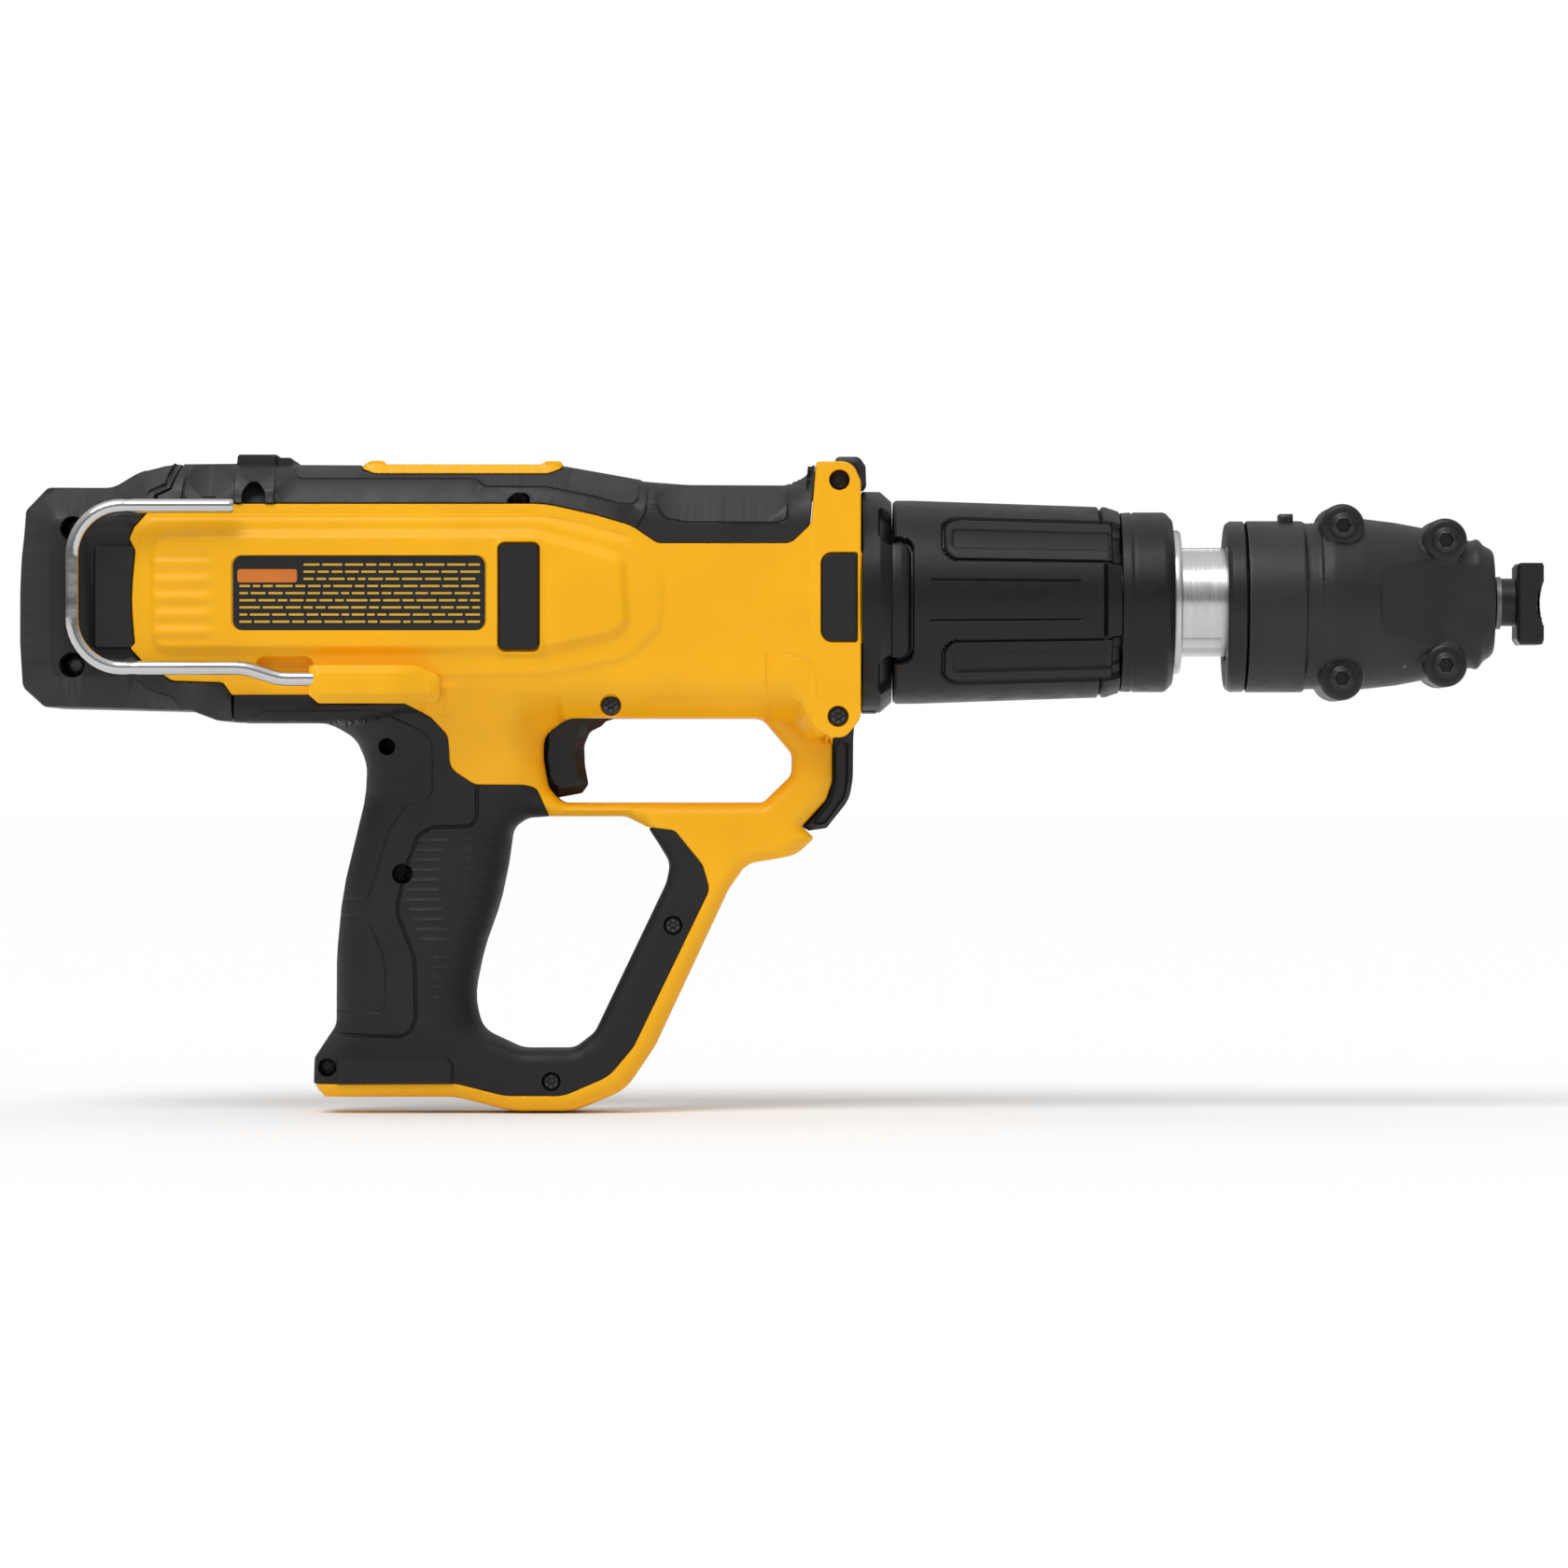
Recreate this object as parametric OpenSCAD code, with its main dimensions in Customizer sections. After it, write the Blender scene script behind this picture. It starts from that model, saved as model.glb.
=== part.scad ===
// Powder-actuated nail gun: strip-fed, with a closed D-handle and a sliding barrel.
// +X runs along the bore to the muzzle, +Z is up, the origin is the mouth of the bore.

/* [Housing] */
// Half width of the yellow housing in the middle
body_half = 31; // [28:0.5:34]
// Half width over the raised side panel
bulge_half = 34; // [32:0.5:36]
// Housing wall
wall = 3.2; // [2.4:0.2:4]
// Half width of the trigger guard and the front bar of the handle
guard_half = 14; // [11:0.5:17]
// Half width of the rear cap
cap_half = 33; // [30:0.5:35]

/* [Grip] */
// Half width of the grip
grip_half = 17; // [14:0.5:20]
// Half width of the cartridge strip channel
strip_half = 4.5; // [3.5:0.25:5.5]
// Front of the strip channel, behind the muzzle
strip_front = 332.4; // [330:0.2:334]
// Length of the strip channel along the tool
strip_len = 12.4; // [10:0.2:13]

/* [Barrel and nose] */
// Outer radius of the sliding barrel
barrel_r = 16.7; // [15:0.1:18]
// Radius of the piston bore
piston_bore = 10.2; // [9:0.1:12]
// Radius of the fastener bore at the muzzle
muzzle_r = 4; // [3.5:0.1:5]
// Length of the fastener bore
muzzle_len = 60; // [40:1:70]
// Radius of the nose ring
nose_r = 26.3; // [24:0.1:28]
// How far the serrated prongs stand out of the bore's mouth
prong = 1.3; // [0.8:0.1:2]

/* [Sleeve] */
// Outer radius of the sleeve behind the grooves
sleeve_r = 31.3; // [29:0.1:33]
// Outer radius of the collar
collar_r = 34; // [32:0.1:35]
// Radial running gap of sliding steel parts
fit = 0.05; // [0.01:0.01:0.1]

/* [Hook] */
// Radius of the hook's wire
wire_r = 2.15; // [1.8:0.05:2.6]
// Distance of the hook from the middle plane
hook_y = 38.5; // [37:0.5:41]
// Inner bend radius of the hook's corners, to the wire's centre
hook_bend = 15; // [10:0.5:18]

/* [Hidden] */
$fn = 72;
strip_back = strip_front + strip_len;
YEL = [0.97, 0.74, 0.10];
BLK = [0.13, 0.13, 0.14];
STL = [0.62, 0.63, 0.65];
DRK = [0.22, 0.22, 0.24];

// ---------- helpers: every outline is x, z behind the prong tips ----------
module tool() translate([prong, 0, 0]) children();
module slab(y0, y1) translate([0, y1, 0]) rotate([90, 0, 0]) linear_extrude(y1 - y0) children();
module rod_x(x0, x1, r) translate([x0, 0, 0]) rotate([0, 90, 0]) cylinder(h = x1 - x0, r = r);
module rod_y(x, z, y0, y1, r) translate([x, y1, z]) rotate([90, 0, 0])
  cylinder(h = y1 - y0, r = r);
module turned() rotate([0, 90, 0]) rotate_extrude() children();
module block(x0, x1, y0, y1, z0, z1) translate([x0, y0, z0]) cube([x1 - x0, y1 - y0, z1 - z0]);
module rounded(x0, x1, z0, z1, r) translate([x0 + r, z0 + r]) offset(r = r, $fn = 16)
  square([x1 - x0 - 2 * r, z1 - z0 - 2 * r]);
module coil(R, r, pitch, turns) linear_extrude(height = pitch * turns, twist = -360 * turns,
  slices = 14 * turns, $fn = 10) polygon([for (k = [0:9]) let (a = 360 * r / pitch * cos(36 * k),
  q = R + r * sin(36 * k)) [q * cos(a), q * sin(a)]]);

// ---------- outlines ----------
// the whole upper body, cap to collar
module upper_2d() polygon([[-465.4, 0], [-463.5, 28], [-456.5, 34.6], [-436, 34.5], [-430, 38.5],
  [-426, 40.2], [-415.4, 41.6], [-361, 41.3], [-299.5, 41.2], [-276, 36.9], [-262, 35.4],
  [-231.5, 35.2], [-226, 38], [-222.6, 41.8], [-217, 42], [-209.2, 34], [-209.2, -35.1],
  [-215.7, -41.6], [-225, -41.6], [-236, -34], [-340, -34], [-344, -38], [-399.5, -38],
  [-404, -36.8], [-412.5, -33.5], [-457, -32.5], [-463.5, -27]]);
module housing_top_2d() polygon([[-430.3, 21], [-427, 25], [-424, 29.1], [-305, 29.1],
  [-300, 28.5], [-290, 26], [-280, 23], [-277, 22.4], [-270.5, 17.2], [-230, 17.2],
  [-226, 18.5], [-223.8, 22], [-222.6, 40], [-222.2, 42], [-217, 42], [-209.2, 34],
  [-209.2, -35.1], [-215.7, -41.6], [-224.5, -41.6], [-236, -34], [-340, -34], [-348, -31.4],
  [-373.3, -31.4], [-376, -28.8], [-399, -28.8], [-400.5, -28.5], [-402.5, -25.5],
  [-405, -24.7], [-418, -24.3], [-428, -18.3], [-430.3, -17]]);
module guard_opening_2d() polygon([[-297, -35.7], [-239.5, -35.7], [-237, -37], [-231.5, -44],
  [-230.2, -47.5], [-230.2, -52], [-231.5, -54.5], [-237.5, -60.5], [-240, -61.5],
  [-299, -61.5], [-302.5, -60], [-305, -55], [-306.2, -48], [-306, -42], [-303, -37.5]]);
// guard, front bar and base of the handle, in yellow
module guard_2d() difference() {
  polygon([[-338, -30], [-217.8, -30], [-217.8, -55], [-220, -61], [-227, -68.8],
    [-225.5, -70.5], [-223.3, -72.6], [-226, -75.5], [-230, -78], [-235, -79.4], [-240, -79.6],
    [-244, -80.5], [-247, -83], [-250, -89], [-270, -132], [-275, -142.5], [-281, -149],
    [-290, -154.5], [-298, -156], [-313, -156], [-325, -153], [-333, -151.5], [-373, -151.5],
    [-376, -147.5], [-375, -147], [-333, -147], [-325, -148.5], [-315, -151], [-300, -151],
    [-295, -150.3], [-288, -146.5], [-282, -141.5], [-279, -137], [-256, -90], [-255, -86],
    [-256, -82], [-265, -71], [-268, -69], [-274.5, -69], [-277, -67.3], [-280.5, -65.8],
    [-304.3, -65.7], [-308, -57.5], [-311, -56], [-326, -56], [-329, -55.6], [-334.6, -50],
    [-335, -40]]);
  guard_opening_2d();
}
module grip_2d() polygon([[-399.5, -28.8], [-399.5, -37], [-372, -37], [-365.5, -40],
  [-362, -44], [-360, -53], [-361, -60], [-363.5, -70], [-368.3, -90], [-369.8, -110],
  [-370, -130], [-376, -140], [-376.5, -145], [-375, -147], [-333, -147], [-325, -148.5],
  [-315, -151], [-300, -151], [-295, -150.3], [-288, -146.5], [-282, -141.5], [-279, -137],
  [-256, -90], [-255, -86], [-256, -82], [-265, -71], [-268, -69], [-274.5, -69], [-271, -74],
  [-268.5, -77], [-267.5, -81], [-268, -85], [-290, -130.5], [-294, -135.5], [-299, -137],
  [-313, -136.8], [-322, -132.5], [-327, -127], [-327.3, -122], [-326.5, -114], [-324, -105],
  [-320, -94], [-317.5, -85], [-316.7, -78], [-316, -72], [-314, -68], [-310, -66],
  [-304.3, -65.7], [-308, -57.5], [-311, -56], [-326, -56], [-329, -55.6], [-334.6, -50],
  [-335, -40], [-338, -36.5], [-348, -31.4], [-373.3, -31.4], [-376, -28.8]]);
module cover_2d() polygon([[-415.2, 29.1], [-415.2, 41.6], [-399, 41.6], [-399, 44.4],
  [-387, 44.4], [-382.5, 43.5], [-381, 41.4], [-361.3, 41.3], [-361.3, 36.4], [-299.2, 36.4],
  [-299.2, 41], [-276, 36.9], [-275.5, 35.4], [-270.5, 34.8], [-262, 35.4], [-231.5, 35.2],
  [-226, 38], [-224, 41], [-222.7, 41.6], [-222.7, 40], [-223.8, 22], [-226, 18.5],
  [-230, 17.2], [-270.5, 17.2], [-277, 22.4], [-280, 23], [-290, 26], [-300, 28.5],
  [-305, 29.1]]);
module cap_2d() polygon([[-465.4, 0], [-463.5, 28], [-463, 29.5], [-456.5, 34.6],
  [-436, 34.5], [-430, 38.5], [-426, 40.2], [-415.5, 41.6], [-415.5, 29.3], [-424.4, 29.3],
  [-427.3, 25.3], [-430.6, 21.2], [-430.6, -17.2], [-428.2, -18.6], [-418.2, -24.6],
  [-405.2, -25], [-402.8, -25.8], [-400.8, -28.8], [-399.8, -29], [-399.8, -37],
  [-404, -36.8], [-412.5, -33.5], [-457, -32.5], [-463, -27], [-463.9, -25.7]]);
// region 2D cut to the inset silhouette: softens the long edges in steps
module soft(d) intersection() { offset(delta = -d) upper_2d(); children(); }

// ---------- housing ----------
module screw_holes(r, y0, y1) {
  rod_y(-266.5, -99, y0, y1, r);
  rod_y(-303.7, -144.5, y0, y1, r);
  rod_y(-353.6, -44.4, y0, y1, r);
  rod_y(-351.2, -83, y0, y1, r);
  rod_y(-370.8, -142.4, y0, y1, r);
}
module housing_half() difference() {
  union() {
    difference() {
      union() {
        slab(-20, 0) soft(0) housing_top_2d();
        slab(-25, -20) soft(1.2) housing_top_2d();
        slab(-28.5, -25) soft(3) housing_top_2d();
        slab(-body_half, -28.5) soft(6) housing_top_2d();
        slab(-bulge_half + 1.4, -body_half) rounded(-425, -270, -16, 22, 6);
        slab(-bulge_half, -bulge_half + 1.4) rounded(-424, -281, -14.6, 20, 5);
        slab(-guard_half + 2.5, 0) guard_2d();
        slab(-guard_half, -guard_half + 2.5) intersection() {
          guard_2d();
          offset(delta = -1.2) union() { guard_2d(); grip_2d(); housing_top_2d(); }
        }
      }
      // main cavity, and the wells above the grip
      slab(-body_half + wall + 0.8, 0.1) offset(delta = -wall) housing_top_2d();
      slab(-9.5, 0.1) polygon([[-358, -25], [-318, -25], [-318, -52], [-358, -52]]);
      block(-386, -224, -22, 0.1, 20, 30);
    }
    // bearers for the two bushes
    block(-316, -302, -body_half + wall, 0, -31.5, 28.6);
    block(-242, -226, -body_half + wall, 0, -31.5, 16.8);
    block(-222, -211, -body_half + wall - 1, 0, -34, 30);
    // breech bearer
    block(-357, -353, -body_half + wall, 0, -29, 28.6);
    // boss that carries the hook
    slab(-hook_y - 3.6, -body_half + 2) rounded(-376, -337, -29.6, -19.6, 3);
  }
  rod_x(-320, -300, 21);
  rod_x(-244, -224, 21);
  rod_x(-224, -209, 27.06);
  rod_x(-359, -351, 14);
  // room for the barrel under the cover's floor, and the striker tube's seat at the back
  rod_x(-300, -223, barrel_r + 0.5);
  rod_x(-432, -425, 10 + fit);
  // strip channel, port, trigger slot, lever and latch slots
  block(-strip_back - 1.5, -strip_front + 1.5, -strip_half - 1.6, 0.1, -152, 45);
  block(-312.5, -280, -6.3, 0.1, -62, -17.5);
  block(-378, -283, -11.2, 0.1, -27, -17.5);
  block(-230, -209, -10.4, 0.1, -50, -29);
  slab(-10.4, 0.1) polygon([[-229, -71], [-227.5, -68.6], [-220.5, -60.8], [-218.2, -57],
    [-218.2, -40], [-208, -40], [-208, -72], [-222, -74]]);
  block(-221.5, -209, -9.4, 0.1, 32, 46);
  block(-332, -316, -3.4, 0.1, -34.1, -18);
  // round holes along y
  rod_y(-285.2, -31.8, -35, 0.1, 2.95);
  rod_y(-216.2, -35.3, -35, 0.1, 2.95);
  rod_y(-215.8, 36.4, -35, 0.1, 2.05);
  rod_y(-215.8, 36.4, -35, -13, 3);
  rod_y(-393.5, 31, -35, -13.9, 3.2);
  rod_y(-313, 31, -35, -13.9, 3.2);
  rod_y(-324, -29, -8, 0.1, 1.05);
  rod_y(-375, -14, -30, 0.1, 1.55);
  screw_holes(2.05, -20, 0.1);
  // hook: bore, and the slot its wire leaves by
  translate([0, -hook_y, -24]) rod_x(-380, -345, wire_r + fit);
  slab(-hook_y - 4, -33.4) rounded(-396, -376, -28, -17, 2);
  // seat of the number plate and of the side pad
  slab(-bulge_half - 1, -bulge_half + 0.6) rounded(-399.8, -322.7, -9.3, 13.4, 3);
  slab(-bulge_half - 1, -bulge_half + 1.2) rounded(-319.2, -306.6, -14.2, 17.4, 2);
  slab(-body_half - 1, -body_half + 1.5) rounded(-221.5, -210.2, -12.8, 14.3, 3);
  // five soft finger grooves
  for (z = [-12, -6, 0, 6, 12]) slab(-bulge_half - 1, -bulge_half + 0.5)
    rounded(-423, -405, z - 1, z + 1, 0.9);
}
module housing_right() color(YEL) tool() housing_half();
// the left half has no hook: its boss stays plain and flush
module housing_left() color(YEL) tool() mirror([0, 1, 0]) intersection() {
  housing_half();
  block(-440, -200, -bulge_half - 0.5, 1, -160, 50);
}
module top_cover() color(BLK) tool() difference() {
  union() {
    slab(-15, 15) cover_2d();
    for (s = [0, 1]) mirror([0, s, 0]) {
      slab(-20, -15) intersection() { cover_2d(); offset(delta = -0.6) upper_2d(); }
      slab(-24, -20) intersection() { cover_2d(); offset(delta = -1.8) upper_2d(); }
      slab(-27, -24) intersection() { cover_2d(); offset(delta = -3.4) upper_2d(); }
      slab(-body_half + 1, -27) intersection() { cover_2d(); offset(delta = -5.6) upper_2d(); }
    }
  }
  slab(-22, 22) offset(delta = -2.8) cover_2d();
  block(-386, -250, -22, 22, 20, 32);
  block(-260, -224, -22, 22, 10, 20.4);
  block(-361, -299.6, -strip_half - 4.4, strip_half + 4.4, 30, 46);
  for (s = [0, 1]) mirror([0, s, 0]) {
    rod_y(-393.5, 31, -35, -13.9, 3.2);
    rod_y(-313, 31, -35, -13.9, 3.2);
  }
  rod_x(-300, -220, 21.05);
  rod_x(-225.5, -221, 25.4);
  block(-226, -209, -9.4, 9.4, 33, 40);
}
// yellow frame round the port where the spent strip comes out
module port_rim() color(YEL) tool() difference() {
  slab(-strip_half - 4.2, strip_half + 4.2) polygon([[-360.8, 34], [-360.8, 41.4],
    [-358.4, 42.5], [-354.5, 42.5], [-353.5, 41.4], [-306, 41.4], [-305, 42.3], [-300.5, 42.3],
    [-299.8, 41], [-299.8, 34]]);
  block(-358, -302.5, -strip_half - 2.4, strip_half + 2.4, 33, 43);
}
module rear_cap() color(BLK) tool() difference() {
  union() {
    slab(-22, 22) cap_2d();
    for (s = [0, 1]) mirror([0, s, 0]) {
      slab(-28, -22) soft(1.4) cap_2d();
      slab(-31, -28) soft(3.4) cap_2d();
      slab(-cap_half, -31) soft(7) cap_2d();
      slab(-cap_half - 0.8, -cap_half) rounded(-441.5, -432, -14.5, 16.5, 1.5);
    }
  }
  block(-459, -427, -26, 26, -27, 28.6);
  block(-430, -404, -24, 24, -27.5, -26);
  for (z = [-19.7, 21.7]) {
    rod_y(-448.2, z, -cap_half - 1, -22, 3.65);
    rod_y(-448.2, z, -23, 26, 2.05);
  }
}
module grip_half_part() difference() {
  union() {
    slab(-grip_half + 3, 0) grip_2d();
    slab(-grip_half, -grip_half + 3) offset(delta = -1.6) grip_2d();
  }
  // hollow of the handle
  slab(-grip_half + 4, 0.1) polygon([[-357, -34], [-356, -53], [-360.5, -80], [-365.5, -104],
    [-366, -134], [-331, -134], [-331, -122], [-328, -105], [-322, -88], [-320.5, -70],
    [-324, -60], [-331, -59.5], [-339, -50], [-339, -36]]);
  block(-strip_back - 1.5, -strip_front + 1.5, -strip_half - 1.6, 0.1, -152, -30);
  block(-358, -318, -9.5, 0.1, -50, -28);
  screw_holes(2.05, -20, 0.1);
  screw_holes(2.95, -20, -grip_half + 3);
  for (k = [0:15]) slab(-grip_half - 1, -grip_half + 0.5)
    rounded(-346.5 - 2.6 * sin(12 * k), -335.5 - 0.45 * k, -75.6 - 3 * k, -74.4 - 3 * k, 0.5);
}
module grip_right() color(BLK) tool() grip_half_part();
module grip_left() color(BLK) tool() mirror([0, 1, 0]) grip_half_part();
module side_pad() slab(-bulge_half - 0.9, -bulge_half + 1.2)
  rounded(-318.9, -306.9, -13.9, 17.1, 1.8);
module side_pad_right() color(BLK) tool() side_pad();
module side_pad_left() color(BLK) tool() mirror([0, 1, 0]) intersection() {
  side_pad();
  block(-330, -300, -bulge_half - 0.5, 0, -30, 30);
}
module front_pad() slab(-body_half - 0.9, -body_half + 1.5)
  rounded(-221.3, -210.4, -12.6, 14.1, 2.8);
module front_pad_right() color(BLK) tool() front_pad();
module front_pad_left() color(BLK) tool() mirror([0, 1, 0]) front_pad();
module data_plate() color(BLK) tool() slab(-bulge_half - 0.1, -bulge_half + 0.6)
  rounded(-399.5, -323, -9, 13.1, 2.8);
module housing_screw(x, z, y0) {
  rod_y(x, z, y0 + 2.4, 12, 2);
  difference() {
    rod_y(x, z, y0, y0 + 2.4, 2.9);
    rod_y(x, z, y0 - 1, y0 + 1.4, 1.5, $fn = 6);
  }
}
module housing_screws() color(STL) tool() {
  housing_screw(-266.5, -99, -grip_half + 0.6);
  housing_screw(-303.7, -144.5, -grip_half + 0.6);
  housing_screw(-353.6, -44.4, -grip_half + 0.6);
  housing_screw(-351.2, -83, -grip_half + 0.6);
  housing_screw(-370.8, -142.4, -grip_half + 0.6);
  for (x = [-393.5, -313], s = [0, 1]) mirror([0, s, 0]) difference() {
    rod_y(x, 31, -17, -14, 3.1);
    rod_y(x, 31, -18, -15.6, 1.5, $fn = 6);
  }
}
module rear_cap_screws() color(STL) tool() for (z = [-19.7, 21.7]) {
  rod_y(-448.2, z, -22, 24, 2);
  difference() {
    rod_y(-448.2, z, -25, -22, 3.5);
    rod_y(-448.2, z, -26, -23.4, 1.8, $fn = 6);
  }
}

// ---------- magazine, breech and striker ----------
module strip_guide() color(DRK) tool() difference() {
  block(-strip_back - 1.2, -strip_front + 1.2, -strip_half - 1.2, strip_half + 1.2,
    -151.3, 33.6);
  block(-strip_back, -strip_front, -strip_half, strip_half, -153, 36);
  // barrel and breech reach the strip through round windows, the pawl through a slot
  rod_x(-strip_front - 0.1, -strip_front + 2, 4);
  rod_x(-strip_back - 2, -strip_back + 0.1, 3.4);
  block(-strip_front - 0.1, -strip_front + 2, -3, 3, -33, -19);
}
module breech_block() color(STL) tool() difference() {
  union() {
    rod_x(-357, -353, 14);
    rod_x(-353, -strip_back - 1.4, 18);
  }
  rod_x(-360, -340, 3.05);
}
module striker_tube() color(STL) tool() difference() {
  rod_x(-430, -357, 10);
  rod_x(-431, -361, 7);
  rod_x(-362, -356, 3.05);
  block(-396, -384, -2.2, 2.2, -12, 0);
}
module striker_plug() color(STL) tool() {
  rod_x(-436, -430.7, 12);
  rod_x(-430.8, -425, 6.95);
}
module striker() color(STL) tool() turned() polygon([[0, -397], [6.9, -397], [6.9, -390],
  [5, -390], [5, -386], [6.9, -386], [6.9, -376], [3, -376], [3, -346.4], [2.4, -345.6],
  [0, -345.6]]);
module striker_spring() color(STL) tool() translate([-424.6, 0, 0]) rotate([0, 90, 0])
  coil(4.9, 0.9, 3.4, 8);
module sear() color(STL) tool() difference() {
  slab(-2, 2) polygon([[-378.5, -11.2], [-372, -11.6], [-370.6, -17], [-370, -25.4],
    [-372.4, -25.4], [-373.4, -18], [-377, -17], [-388, -13.4], [-389.4, -7.3],
    [-387, -7.3], [-386.6, -11.4]]);
  rod_y(-375, -14, -3, 3, 1.55);
}
module sear_pin() color(STL) tool() rod_y(-375, -14, -body_half + wall + 0.9,
  body_half - wall - 0.9, 1.5);

// ---------- trigger ----------
module trigger() color(BLK) tool() difference() {
  union() {
    slab(-5.8, 5.8) polygon([[-303, -36], [-287.4, -36.4], [-288.5, -38], [-292, -39.5],
      [-293.8, -43], [-293.8, -50], [-292.8, -56], [-294.5, -58.3], [-301, -60],
      [-303.8, -56], [-305, -48], [-304.8, -40]]);
    slab(-5.8, 5.8) polygon([[-303, -36.2], [-299, -29], [-288, -22], [-283, -25],
      [-280.6, -30], [-281.5, -34.6], [-287.4, -36.4]]);
  }
  rod_y(-285.2, -31.8, -7, 7, 2.55);
  rod_y(-287.4, -24.4, 2, 7, 1.5);
  translate([-306, 0, -46]) rotate([0, 90, 0]) cylinder(h = 4, r = 2.6);
}
module trigger_pin() color(STL) tool() {
  rod_y(-285.2, -31.8, -22, 22, 2.5);
  difference() {
    rod_y(-285.2, -31.8, -24.5, -22, 2.9);
    rod_y(-285.2, -31.8, -25, -23.2, 1.5, $fn = 6);
  }
}
module trigger_spring() color(STL) tool() translate([-312, 0, -46]) rotate([0, 90, 0])
  coil(1.9, 0.45, 2.4, 4);
// flat bar beside the strip guide, from the trigger back to the sear
module trigger_bar() color(STL) tool() {
  block(-375.4, -285.4, 6.4, 8.4, -26.2, -22.2);
  block(-375.4, -373.6, -2, 6.4, -24.6, -21.4);
  rod_y(-287.4, -24.4, 3, 6.4, 0.9);
}
module feed_pawl() color(STL) tool() difference() {
  slab(-2.6, 2.6) polygon([[-326.4, -31], [-321.6, -31], [-321.4, -27], [-326, -26.4],
    [-330.6, -26], [-331, -28]]);
  rod_y(-324, -29, -4, 4, 1.05);
}
module feed_pawl_pin() color(STL) tool() rod_y(-324, -29, -7.9, 7.9, 1);

// ---------- barrel, piston and return spring ----------
module barrel() color(STL) tool() difference() {
  rod_x(-318, -91.2, barrel_r);
  rod_x(-319, -213, piston_bore);
  rod_x(-214, -90, 4.4);
  // three shallow flutes at the visible front
  for (a = [20, 140, 260]) rotate([a, 0, 0]) translate([0, 0, barrel_r + 2.6])
    rod_x(-200, -99, 3.6);
  // exhaust ports
  for (a = [90, 270]) rotate([a, 0, 0]) translate([-262, 0, 0]) cylinder(h = 20, r = 3);
}
module barrel_stop_ring() color(STL) tool() difference() {
  rod_x(-134, -130.2, 22.8);
  rod_x(-135, -129, barrel_r);
}
module front_bush() color(DRK) tool() difference() {
  union() { rod_x(-244, -224, 21); rod_x(-224, -222.6, 25); }
  rod_x(-245, -221, barrel_r + fit);
}
module rear_bush() color(DRK) tool() difference() {
  rod_x(-320, -300, 21);
  rod_x(-321, -299, barrel_r + fit);
}
module piston() color(STL) tool() difference() {
  union() {
    rod_x(-317, -293, piston_bore - fit);
    rod_x(-293, -muzzle_len - 4, muzzle_r - 0.08);
  }
  turned_grooves();
  rod_x(-318, -311, 5);
}
module turned_grooves() for (x = [-310, -304]) difference() {
  rod_x(x, x + 2.4, 12);
  rod_x(x - 1, x + 4, 8.4);
}
module piston_rings() color(DRK) tool() for (x = [-310, -304]) difference() {
  rod_x(x + 0.1, x + 2.3, piston_bore - fit / 2);
  rod_x(x - 1, x + 4, 8.4);
}
module buffer() color(BLK) tool() difference() {
  rod_x(-229, -213, piston_bore);
  rod_x(-230, -212, 4.3);
}
module return_spring() color(STL) tool() translate([-222, 0, 0]) rotate([0, 90, 0])
  coil(20.6, 1.4, 8.75, 10);

// ---------- collar, sleeve and their rings ----------
module collar() color(BLK) tool() difference() {
  union() {
    turned() polygon([[24, -222], [27, -222], [27, -208.9], [collar_r, -208.9],
      [collar_r, -203], [30.9, -199.6], [24, -199.6]]);
    rod_x_at(-208.9, -204.3, 4.4, -29.9);
    intersection() {
      slab(-32, -24) rounded(-200.5, -193.7, -18.5, 19, 2);
      rod_x(-201, -193, 30.9);
      difference() { rod_x(-201, -193, 32); rod_x(-202, -192, 28.6); }
    }
  }
  for (a = [45, 135, 225, 315]) rotate([a, 0, 0]) block(-203.2, -198, -8, 8, 29.5, 36);
}
module rod_x_at(x0, x1, r, z) translate([0, 0, z]) rod_x(x0, x1, r);
module sleeve() color(BLK) tool() difference() {
  turned() polygon([[24.4, -199.3], [30.6, -199.3], [sleeve_r, -198.3], [sleeve_r, -194],
    [29.3, -137], [28.6, -136.6], [28.6, -135.6], [29.2, -135], [27.8, -129.8], [24.4, -129.8]]);
  slab(-33, -23.5) intersection() {
    rounded(-201, -193.5, -18.8, 19.3, 2);
    polygon([[-202, -30], [-192, -30], [-192, 30], [-202, 30]]);
  }
  // long grooves on four sides
  for (a = [48, 132, 228, 312]) rotate([a, 0, 0]) translate([-184.5, -6.2, 27.4])
    linear_extrude(8) offset(r = 4, $fn = 24) translate([4, 4]) square([48, 4.4]);
}
module end_ring() color(BLK) tool() turned() polygon([[23.2, -129.5], [27.5, -129.5],
  [27.5, -115.5], [25.5, -113.5], [19, -113.5], [19, -116.5], [23.2, -119]]);
module wiper_ring() color(DRK) tool() turned() polygon([[17.05, -113.4], [22.2, -113.4],
  [22.2, -112], [21.4, -111.1], [17.05, -111.1]]);

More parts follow.
